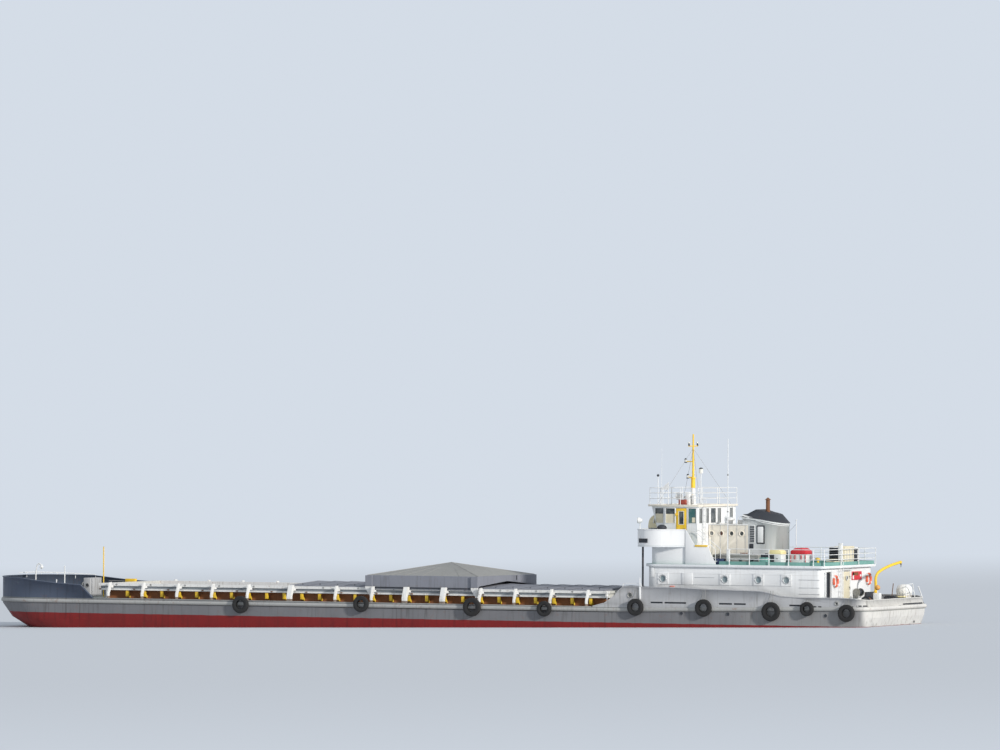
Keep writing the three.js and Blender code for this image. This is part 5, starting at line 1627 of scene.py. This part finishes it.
@dataclass(frozen=True)
class Casing:
    """The aft cabin and the funnel casing behind it."""

    eaves: tuple[Point, ...] = ((6.4, 7.45), (6.6, 7.48), (7.7, 7.69), (8.95, 8.07))
    hood_slope: float = 0.25
    portholes: tuple[tuple[float, Finish], ...] = (
        (10.98, GREY_GLASS), (10.35, BROWN_GLASS), (9.67, GLASS), (9.0, GLASS),
    )

    def build(self) -> None:
        """Dresses the cabin and the casing, paints the hood's top dark and adds their fittings."""
        dressed("aft_cabin", IVORY, 30, 0.015)
        hood = dressed("funnel", CASING, 32)
        hood.data.materials.append(SHOP.material(DARK))
        for face in hood.data.polygons:
            if face.normal.z > self.hood_slope:
                face.material_index = 1
        piece = Piece("cabin_fittings")
        for x, glass in self.portholes:
            piece.ring((x, 1.22, 6.9), 0.148, 0.026, IVORY)
            piece.bar((x, 1.15, 6.9), (x, 1.175, 6.9), 0.126, glass, sides=24)
        for x in (8.75, 9.3, 9.85, 10.4, 10.95):
            piece.box((x, x + 0.02), (1.2, 1.215), (5.1, 7.4), DULL_WHITE, 0.003)
        piece.box((8.6, 11.15), (1.2, 1.24), (7.4, 7.45), PLAIN_WHITE, 0.008)
        piece.box((8.6, 9.1), (1.2, 1.212), (5.3, 5.75), RUSTY, 0.003)
        piece.mirror()
        bend = ((9.32, 7.45), (9.3, 7.8), (9.15, 7.95), (8.8, 7.9), (8.66, 7.7), (8.64, 7.45))
        piece.pipe([(x, 1.15, z) for x, z in bend], 0.02, PLAIN_WHITE, smooth=True)
        vent = [(0, 0), (0.16, 0), (0.16, 0.2), (0.26, 0.24), (0.26, 0.36), (0.1, 0.42), (0, 0.42)]
        piece.turned(vent, (10.2, 0.2, 7.45), PLAIN_WHITE)
        piece.box((9.6, 9.95), (-0.7, -0.3), (7.45, 7.7), PLAIN_WHITE, 0.03)
        piece.done()
        self._funnel()

    def _eaves(self, x: float) -> float:
        """The height of the hood's eaves at a place along the casing.

        Args:
            x: Metres forward.

        Returns:
            The height in metres.
        """
        for (aft, low), (fore, high) in zip(self.eaves, self.eaves[1:]):
            if x <= fore:
                return low + (high - low) * (max(x, aft) - aft) / (fore - aft)
        return self.eaves[-1][1]

    def _funnel(self) -> None:
        """Louvres, panels, flashing strip, exhaust and staff of the casing."""
        piece = Piece("casing_fittings")
        piece.box((8.12, 8.5), (1.2, 1.225), (6.35, 7.42), PLAIN_WHITE, 0.01)
        piece.box((8.16, 8.46), (1.215, 1.235), (6.39, 7.38), DARK, 0.0)
        for i in range(9):
            z = 6.45 + i * 0.105
            piece.box((8.16, 8.46), (1.225, 1.25), (z, z + 0.03), DULL_WHITE, 0.0, (25, 0, 0))
        piece.box((8.22, 8.5), (1.2, 1.23), (6.02, 6.3), DARK, 0.02)
        piece.box((7.5, 8.02), (1.16, 1.235), (6.3, 7.4), DARK, 0.05)
        piece.box((7.57, 7.95), (1.2, 1.245), (6.37, 7.33), PLAIN_WHITE, 0.04)
        piece.mirror()
        fore, bend_x, wide = 8.95, 7.7, 1.225
        turns = [i * math.pi / 12 for i in range(1, 12)]
        strip = [(fore, wide), (bend_x, wide)]
        strip += [(bend_x - wide * math.sin(turn), wide * math.cos(turn)) for turn in turns]
        strip += [(bend_x, -wide), (fore, -wide)]
        piece.pipe([(x, y, self._eaves(x) - 0.09) for x, y in strip], 0.022, PLAIN_WHITE)
        exhaust = (7.77, 0.1)
        piece.bar((*exhaust, 7.7), (*exhaust, 8.95), 0.125, RUSTY, sides=24)
        piece.bar((*exhaust, 8.93), (*exhaust, 9.07), 0.2, RUSTY, 0.02, 24)
        piece.ring((*exhaust, 8.2), 0.135, 0.02, RUSTY, (0, 0, 1))
        piece.bar((7.95, -0.35, 7.8), (7.95, -0.35, 8.6), 0.07, RUSTY, sides=18)
        piece.bar((5.95, 0, 5.09), (5.95, 0, 7.7), 0.022, PLAIN_WHITE)
        piece.ball((5.95, 0, 7.72), 0.045, PLAIN_WHITE)
        piece.bar((5.95, 0, 7.5), (6.55, 0, 6.9), 0.008, STEEL, sides=6)
        piece.done(slot="casing_paint")


@dataclass(frozen=True)
class BoatDeckGear:
    """The railing and the gear on the boat deck."""

    base: float = 5.081

    def build(self) -> None:
        """Builds each piece of gear in its solid's form."""
        side = [(x, 3.92) for x in (8.6, 7.29, 6.02, 4.75, 3.14, 2.43)] + [(2.43, 1.3)]
        rails = Piece("boat_deck_railing_round")
        path = side + [(x, -y) for x, y in reversed(side)]
        rails.railing(path, self.base, (0.35, 0.65, 0.95), 0.025, PLAIN_WHITE)
        rails.done("boat_deck_railing")
        self._skylight()
        self._locker()
        self._covered_box()
        self._cabinet()
        self._raft_box()
        self._vent()
        self._loose_gear()

    def _skylight(self) -> None:
        """A long grey skylight with hinged lids."""
        piece = Piece("skylight_dressed")
        base = self.base
        piece.box((7.32, 10.28), (1.62, 2.58), (base, base + 0.46), COVER_GREY)
        piece.box((7.3, 10.3), (1.6, 2.6), (base + 0.46, base + 0.58), COVER_GREY, 0.03)
        for i in range(4):
            x = 7.42 + i * 0.72
            piece.box((x, x + 0.62), (1.66, 2.54), (base + 0.575, base + 0.6), COVER_GREY, 0.01)
            piece.bar((x + 0.15, 1.68, base + 0.6), (x + 0.47, 1.68, base + 0.6), 0.015, STEEL)
            piece.ring((x + 0.31, 2.5, base + 0.61), 0.05, 0.01, STEEL, (1, 0, 0))
            piece.bar((x + 0.31, 2.58, base + 0.25), (x + 0.31, 2.6, base + 0.25), 0.11, GLASS, sides=18)
        piece.done("skylight")

    def _locker(self) -> None:
        """A white locker with a dark fore part under a yellow hood."""
        piece = Piece("deck_locker_dressed")
        base = self.base
        piece.box((6.0, 6.45), (1.42, 2.18), (base, base + 0.62), PLAIN_WHITE, 0.02)
        piece.box((6.45, 6.83), (1.42, 2.18), (base, base + 0.62), DARK, 0.02)
        hood = ((5.98, 0.6), (6.85, 0.6), (6.82, 0.8), (6.66, 0.91), (6.42, 0.93), (6.15, 0.91), (6.0, 0.8))
        piece.slab([(x, base + high) for x, high in hood], "y", (1.4, 2.2), PALE_YELLOW, 0.02)
        piece.box((6.2, 6.3), (2.18, 2.2), (base + 0.3, base + 0.4), STEEL)
        piece.done("deck_locker")

    def _covered_box(self) -> None:
        """A grey-white bin under a red lid in a red frame."""
        piece = Piece("covered_box_dressed")
        base = self.base
        piece.box((4.95, 5.85), (0.05, 0.95), (base, base + 0.66), PLAIN_WHITE, 0.02)
        lid = ((4.9, 0.62), (5.9, 0.62), (5.9, 0.8), (5.62, 0.99), (5.18, 0.99), (4.9, 0.8))
        piece.slab([(x, base + high) for x, high in lid], "y", (0.0, 1.0), RED, 0.02)
        for x in (4.92, 5.88):
            for y in (0.02, 0.98):
                piece.bar((x, y, base), (x, y, base + 0.7), 0.02, RED)
        for x in (5.2, 5.6):
            piece.box((x - 0.03, x + 0.03), (0.98, 1.0), (base + 0.3, base + 0.65), RED, 0.004)
        piece.done("covered_box")

    def _cabinet(self) -> None:
        """The louvred cabinet and its tall white corner post."""
        piece = Piece("louvre_box_dressed")
        base = self.base
        piece.box((2.75, 3.4), (0.45, 0.98), (base, base + 1.1), PLAIN_WHITE, 0.02)
        piece.box((2.8, 3.36), (0.97, 1.0), (base + 0.06, base + 1.04), DARK, 0.0)
        for i in range(7):
            z = base + 0.14 + i * 0.13
            piece.box((2.8, 3.36), (0.975, 1.0), (z, z + 0.04), NAVY if i not in (2, 5) else PLAIN_WHITE, 0.0)
        piece.box((2.56, 2.78), (0.8, 1.0), (base, 6.37), PLAIN_WHITE, 0.02)
        piece.box((2.54, 2.8), (0.78, 1.02), (6.35, 6.39), PLAIN_WHITE, 0.01)
        piece.done("louvre_box")

    def _raft_box(self) -> None:
        """The cream raft box, its lid's edge, ribs and a dark block of painted shade for a recess at its
        starboard end.
        """
        piece = Piece("raft_box_dressed")
        base = self.base
        piece.box((2.6, 3.28), (-1.0, 0.4), (base, base + 1.02), CREAM, 0.03)
        piece.box((2.58, 3.3), (-1.02, 0.42), (base + 1.0, base + 1.12), CREAM, 0.04)
        for y in (-0.72, -0.3, 0.12):
            piece.box((2.585, 2.6), (y - 0.02, y + 0.02), (base + 0.05, base + 0.98), DULL_WHITE, 0.0)
        # Painted shade: a dark block stands in for the shade in the recess.
        piece.box((2.62, 3.26), (-1.58, -1.04), (base, base + 1.0), DARK, 0.01)
        for z in (base + 0.02, base + 1.0):
            piece.box((2.58, 3.3), (-1.6, -1.02), (z - 0.02, z + 0.05), PLAIN_WHITE, 0.01)
        piece.box((2.58, 2.64), (-1.6, -1.54), (base, base + 1.05), PLAIN_WHITE, 0.01)
        piece.done("raft_box")

    def _vent(self) -> None:
        """The vent box and the tall whip aerial on it."""
        piece = Piece("vent_post_dressed")
        piece.box((8.98, 9.16), (2.92, 3.1), (self.base, 5.94), PLAIN_WHITE, 0.02)
        piece.box((8.96, 9.18), (2.9, 3.12), (5.93, 5.98), PLAIN_WHITE, 0.01)
        piece.bar((9.12, 3.0, 5.9), (9.12, 3.0, 12.6), 0.035, PLAIN_WHITE, 0.02)
        for z in (8.2, 10.4):
            piece.bar((9.12, 3.0, z), (9.12, 3.0, z + 0.08), 0.045, STEEL)
        piece.done("vent_post")

    def _loose_gear(self) -> None:
        """Small gear between the larger boxes: a teal machine box, vents, a stores rack and pipe stubs."""
        piece = Piece("boat_deck_small_gear")
        base = self.base
        piece.box((6.45, 6.92), (2.75, 3.3), (base, base + 0.45), TEAL_PAINT, 0.03)
        piece.bar((6.55, 2.9, base + 0.45), (6.55, 3.15, base + 0.6), 0.12, DARK, sides=16)
        piece.box((6.65, 6.88), (2.85, 3.2), (base + 0.44, base + 0.64), DARK, 0.03)
        piece.box((9.35, 10.2), (2.75, 3.2), (base, base + 0.34), NAVY, 0.03)
        stub = [(0, 0), (0.07, 0), (0.07, 0.3), (0.13, 0.33), (0.13, 0.42), (0, 0.46)]
        for x, y in ((3.75, 1.9), (3.45, 2.5), (4.3, -2.4), (8.0, -2.6), (9.6, -2.6)):
            piece.turned(stub, (x, y, base), YELLOW if y > 0 else PLAIN_WHITE, steps=18)
        piece.box((3.62, 3.95), (2.1, 2.4), (base, base + 0.28), TEAL_PAINT, 0.02)
        for z in (0.08, 0.2, 0.32):
            piece.box((2.62, 3.2), (1.15, 1.9), (base + z, base + z + 0.05), CREAM, 0.006)
        piece.box((7.3, 10.3), (-2.6, -1.6), (base, base + 0.55), COVER_GREY, 0.03)
        piece.done(slot="gear_paint")


@dataclass(frozen=True)
class SternGear:
    """The gear on the aft deck: the davit, covered winch, rails and stores."""

    davit: Span = (1.15, -0.9)
    winch: Span = (0.3, -3.3)
    cover_profile: tuple[Point, ...] = (
        (0.02, 1.44), (0.16, 1.43), (0.3, 1.39), (0.4, 1.33), (0.46, 1.22), (0.485, 1.08),
        (0.48, 0.95), (0.46, 0.85), (0.43, 0.76), (0.41, 0.66), (0.4, 0.5), (0.4, 0.34),
    )
    cover_reach: float = 0.5
    hook: tuple[Point, ...] = ((0, -0.18), (0.01, -0.23), (0.04, -0.27), (0.01, -0.31), (-0.03, -0.28))

    def build(self) -> None:
        """Builds the aft deck's gear."""
        dressed("davit_base", WHITE, 30, 0.02)
        dressed("davit_arm", YELLOW, 60)
        self._davit_fittings()
        self._winch_cover()
        self._rails()
        self._stores()

    def _davit_fittings(self) -> None:
        """The collar, sheave and hook of the davit."""
        x, y = self.davit
        piece = Piece("davit_fittings", "davit")
        piece.bar((x, y, 3.44), (x, y, 3.52), 0.12, YELLOW, sides=20)
        tip = Vector((x - 0.8, y - 2.0, 3.4 + 1.83))
        piece.bar(tip + Vector((0, 0, -0.03)), tip + Vector((0, 0, -0.1)), 0.02, STEEL)
        piece.bar(tip + Vector((-0.03, 0, -0.14)), tip + Vector((0.03, 0, -0.14)), 0.06, STEEL, sides=18)
        piece.pipe([tip + Vector((0, across, drop)) for across, drop in self.hook], 0.014, DARK, smooth=True)
        piece.done(slot="yellow_paint")

    def _winch_cover(self) -> None:
        """The canvas cover draped over the small winch, with folds that widen to its hem."""
        sides, rows, profile = 96, 26, self.cover_profile
        middle_x, middle_y = self.winch
        points, faces = [], []
        for row in range(rows + 1):
            place_on = row * (len(profile) - 1) / rows
            i = min(int(place_on), len(profile) - 2)
            share = place_on - i
            radius = profile[i][0] + (profile[i + 1][0] - profile[i][0]) * share
            height = profile[i][1] + (profile[i + 1][1] - profile[i][1]) * share
            loose = max(0.0, (1.3 - height) / 0.96)
            for k in range(sides):
                angle = math.tau * k / sides
                broad = 0.035 * loose * math.sin(7 * angle + 1.3 * loose)
                fine = 0.018 * loose * math.sin(13 * angle + 2)
                sag = 0.03 * loose * math.sin(3 * angle + 0.6)
                out = min(self.cover_reach, radius + broad + fine)
                x, y = middle_x + out * math.cos(angle), middle_y + out * math.sin(angle)
                points.append((x, y, DECK + height - sag))
        for row in range(rows):
            for k in range(sides):
                a, b = row * sides + k, row * sides + (k + 1) % sides
                faces.append([a, a + sides, b + sides, b])
        faces.append(list(range(sides)))
        cover = from_points("winch_cover", points, [], faces)
        edited(cover, (bpy.ops.mesh.normals_make_consistent, {"inside": False}))
        cover.data.transform(TO_FRAME)
        SHOP.coat(cover, WHITE_CANVAS)
        smoothed(cover, 60)
        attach(cover, ROOT)
        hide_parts("stern_capstan")
        foot = Piece("winch_foot")
        foot.bar((*self.winch, DECK), (*self.winch, DECK + 0.06), 0.34, DARK, sides=28)
        foot.bar((*self.winch, DECK), (*self.winch, DECK + 1.34), 0.3, DARK, 0.22, 24)
        foot.done(slot="windlass_paint")
        tie = Piece("winch_cover_tie")
        tie.ring((*self.winch, DECK + 0.74), 0.45, 0.012, BROWN, (0, 0, 1))
        tie.done(slot="canvas")

    def _rails(self) -> None:
        """The pipe frame on the stern and the slanted post beside it."""
        piece = Piece("stern_rails")
        x = -0.46
        piece.pipe([(x, -1.77, 3.1), (x, -1.77, 3.9), (x, -2.77, 3.94), (x, -3.16, 3.05)], 0.03, PLAIN_WHITE)
        piece.bar((x, -1.77, 3.5), (x, -2.96, 3.5), 0.02, PLAIN_WHITE)
        piece.bar((x, -3.66, 3.76), (x, -4.33, 3.04), 0.035, PLAIN_WHITE)
        piece.done(slot="rail_paint")

    def _stores(self) -> None:
        """The mooring winch, ball fender, boxes, boat hook and rope coils on the deck."""
        piece = Piece("stern_stores")
        piece.box((0.35, 1.0), (1.1, 1.9), (DECK, 2.56), DARK)
        cheek = [(0.42, 2.55), (0.95, 2.55), (0.8, 3.1), (0.56, 3.1)]
        for y in (1.16, 1.84):
            piece.slab(cheek, "y", (y - 0.03, y + 0.03), DARK, 0.008)
        x, z = 0.68, 2.95
        piece.bar((x, 1.12, z), (x, 1.88, z), 0.2, STEEL, sides=24)
        for y in (1.24, 1.76):
            piece.bar((x, y - 0.02, z), (x, y + 0.02, z), 0.32, DARK, sides=28)
        for i in range(9):
            piece.ring((x, 1.3 + i * 0.05, z), 0.22, 0.025, BROWN)
        piece.ball((0.51, 0.34, 3.76), 0.16, OCHRE)
        piece.bar((0.51, 0.34, DECK), (0.51, 0.34, 3.62), 0.03, PLAIN_WHITE)
        piece.bar((0.48, -1.6, 2.5), (0.3, -1.6, 3.97), 0.025, BROWN)
        piece.box((-0.05, 0.75), (-1.5, -1.15), (2.46, 3.2), DARK, 0.02)
        piece.box((0.05, 0.65), (-1.52, -1.13), (3.18, 3.23), DARK, 0.01)
        piece.box((-0.2, 0.35), (-2.5, -1.9), (2.46, 3.13), DARK, 0.02)
        piece.box((-0.24, 0.42), (-2.55, -1.85), (3.13, 3.2), PALE_YELLOW, 0.02)
        for i in range(6):
            piece.ring((1.4, -3.3, 2.5 + 0.05 * i), 0.38 - 0.02 * (i % 2), 0.03, BROWN, (0, 0, 1))
        piece.box((-0.05, 0.6), (2.6, 3.5), (2.452, 2.6), BULWARK_GREY, 0.02)
        piece.ring((0.28, 3.05, 2.62), 0.09, 0.015, STEEL, (1, 0, 0))
        piece.done(slot="gear_paint")


class BowGear:
    """The gear on the fore deck."""

    def build(self) -> None:
        """Builds the fore deck's gear."""
        dressed("windlass_frame", DARK, 30, 0.012)
        dressed("windlass_drum", STEEL, 35)
        dressed("fore_locker", BULWARK_GREY, 30, 0.02)
        self._light_pole()
        self._rail()
        self._deck()

    def _light_pole(self) -> None:
        """The bent white pole at the stem, with its lamp under a small hood."""
        piece = Piece("fore_light_pole")
        bend = ((58.5, 2.45), (58.5, 3.35), (58.45, 4.2), (58.26, 4.53), (58.08, 4.35))
        piece.pipe([(x, 0, z) for x, z in bend], 0.04, PLAIN_WHITE, smooth=True)
        piece.turned([(0, -0.14), (0.09, -0.14), (0.14, -0.12), (0.06, 0.0), (0.05, 0.08), (0, 0.08)],
                     (58.06, 0, 4.32), PLAIN_WHITE)
        piece.ball((58.06, 0, 4.18), 0.07, LAMP_GLASS)
        piece.done(slot="rail_paint")

    def _rail(self) -> None:
        """The pipe rail above the bow bulwark's starboard side."""
        piece = Piece("bow_rail")
        rail = []
        for i in range(2, 12):
            t = i * math.pi / 22
            x = min(54.8 + 5.0 * math.sin(t) ** (2 / 2.6), 59.72)
            y = max(4.68 * max(math.cos(t), 0.0) ** (2 / 2.6) - (0.05 if i > 8 else 0.0), 0.0)
            rail.append((x, -y, 3.6 + (x - 55.4) * 0.06))
        piece.pipe(rail, 0.022, PLAIN_WHITE)
        for x, y, z in rail[::2]:
            piece.bar((x, y, z - 0.32), (x, y, z), 0.02, PLAIN_WHITE)
        piece.done(slot="rail_paint")

    def _deck(self) -> None:
        """Chain stoppers and chains, posts, vents, a rail, the round hole of the locker as a dark disc of
        painted shade, and the hatch.
        """
        piece = Piece("fore_deck_gear")
        for y in (-0.26, 0.24):
            piece.box((57.7, 58.1), (y - 0.12, y + 0.12), (DECK, 2.62), DARK, 0.02)
            for i in range(8):
                x = 57.35 + i * 0.14
                axis = (0, 1, 0) if i % 2 else (0, 0, 1)
                piece.ring((x, y, 2.72 + 0.02 * (i % 2)), 0.06, 0.02, RUSTY, axis)
        piece.bar((58.74, 3.0, DECK), (58.74, 3.0, 2.84), 0.16, PLAIN_WHITE, sides=20, bevel=0.015)
        piece.bar((56.38, 0.0, 2.52), (56.38, 0.0, 4.34), 0.035, PLAIN_WHITE)
        piece.bar((53.0, 1.0, DECK), (53.0, 1.0, 5.6), 0.035, YELLOW)
        piece.bar((50.94, 4.3, DECK), (50.94, 4.3, 3.1), 0.04, PLAIN_WHITE)
        piece.bar((54.85, -3.0, 3.35), (53.47, -3.0, 3.35), 0.03, STEEL)
        piece.box((52.9, 53.6), (-3.15, -2.85), (3.22, 3.5), YELLOW, 0.02)
        for x in (53.2, 54.7):
            piece.bar((x, -3.0, DECK), (x, -3.0, 3.3), 0.025, STEEL)
        # Painted shade: a dark disc stands in for the unlit inside of the locker's round hole.
        piece.bar((54.32, 0.742, 3.15), (54.32, 0.757, 3.15), 0.12, DARK, sides=24)
        piece.ring((54.32, 0.75, 3.15), 0.12, 0.02, STRAKE_GREY)
        piece.box((54.3, 54.34), (4.62, 4.68), (3.36, 3.6), PLAIN_WHITE, 0.008)
        piece.box((55.1, 55.75), (1.5, 2.2), (DECK, 2.75), BULWARK_GREY, 0.02)
        piece.box((55.05, 55.8), (1.45, 2.25), (2.75, 2.8), BULWARK_GREY, 0.015)
        vent = [(0, 0), (0.09, 0), (0.09, 0.45), (0.2, 0.5), (0.2, 0.6), (0, 0.66)]
        for y in (-3.4, 3.4):
            piece.turned(vent, (55.0, y, DECK), PLAIN_WHITE, steps=20)
        piece.done(slot="windlass_paint")


class Underwater:
    """The screws and rudders."""

    def build(self) -> None:
        """Dresses the screws and rudders."""
        for side in ("port", "starboard"):
            dressed("propeller_" + side, BRONZE, 40, 0.004)
            dressed("rudder_" + side, RUDDER_RED, 30, 0.006)


@dataclass(frozen=True)
class Tyres:
    """The tyre fenders and the wire hangers that hold them."""

    rows: tuple[Point, ...] = (
        (41.1, 2.23, 1.07), (32.75, 2.4, 1.0), (25.2, 2.33, 1.14), (20.34, 2.3, 0.93), (14.28, 2.49, 1.02),
        (9.81, 2.51, 1.04), (5.42, 2.36, 1.14), (3.09, 2.55, 0.84), (0.55, 2.34, 1.02),
    )
    out: float = 4.9906
    half: float = 0.13
    lugs: int = 20

    def build(self) -> None:
        """Models one tyre and hangs a copy of it at each place."""
        for side, sign in (("port", 1), ("starboard", -1)):
            for i, (x, z, diameter) in enumerate(self.rows):
                node = f"tyre_{side}_{i + 1}"
                if node in frame["nodes"]:
                    self._hang(node, x, sign, z, diameter / 2)

    def _hang(self, node: str, x: float, sign: int, z: float, radius: float) -> None:
        """Builds a tyre with its tread and the two straps of its hanger.

        Args:
            node: The CAD node that it stands for.
            x: Metres forward.
            sign: 1 for port, -1 for starboard.
            z: Metres up.
            radius: The tyre's outer radius.
        """
        half = self.half
        piece = Piece(node + "_dressed")
        outer = [(0.5, 0.095), (0.6, 0.118), (0.74, half), (0.87, half), (0.955, 0.112), (0.985, 0.1),
                 (1, 0.075), (1, 0.05), (0.975, 0.046), (0.975, 0.034), (1, 0.03)]
        profile = [(0.55, -0.075)] + [(share, -height) for share, height in outer]
        profile += outer[::-1] + [(0.55, 0.075), (0.8, 0.09), (0.9, 0.0), (0.8, -0.09), (0.55, -0.075)]
        piece.turned([(share * radius, height) for share, height in profile], (x, sign * self.out, z), RUBBER,
                     (0, 1, 0), 40)
        for i in range(self.lugs):
            angle = i * math.tau / self.lugs
            cos, sin = math.cos(angle), math.sin(angle)
            near, far = radius * 0.9, radius * 0.985
            piece.bar((x + near * cos, sign * (self.out + half * 0.93), z + near * sin),
                      (x + far * cos, sign * (self.out + half * 0.72), z + far * sin), 0.02, RUBBER, sides=6)
        rim = 3.15 if x < 5 else (3.6 if x < 15.5 else 2.5)
        for shift in (-0.1, 0.1):
            low = (x + shift, sign * self.out, z + radius * 0.62)
            high = (x + shift * 0.8, sign * 4.83, rim)
            piece.bar(low, high, 0.014, STEEL, sides=8)
        piece.done(node, smooth=40)


def main() -> None:
    """Builds the barge's looks in order."""
    logging.basicConfig(level=logging.INFO, format="%(message)s")
    Stage().build()
    parts = (Shell(), Hold(), Deckhouse(), Bridge(), RoofGear(), Casing(), BoatDeckGear(), SternGear(),
             BowGear(), Underwater(), Tyres())
    for part in parts:
        part.build()


if __name__ == "__main__":
    main()
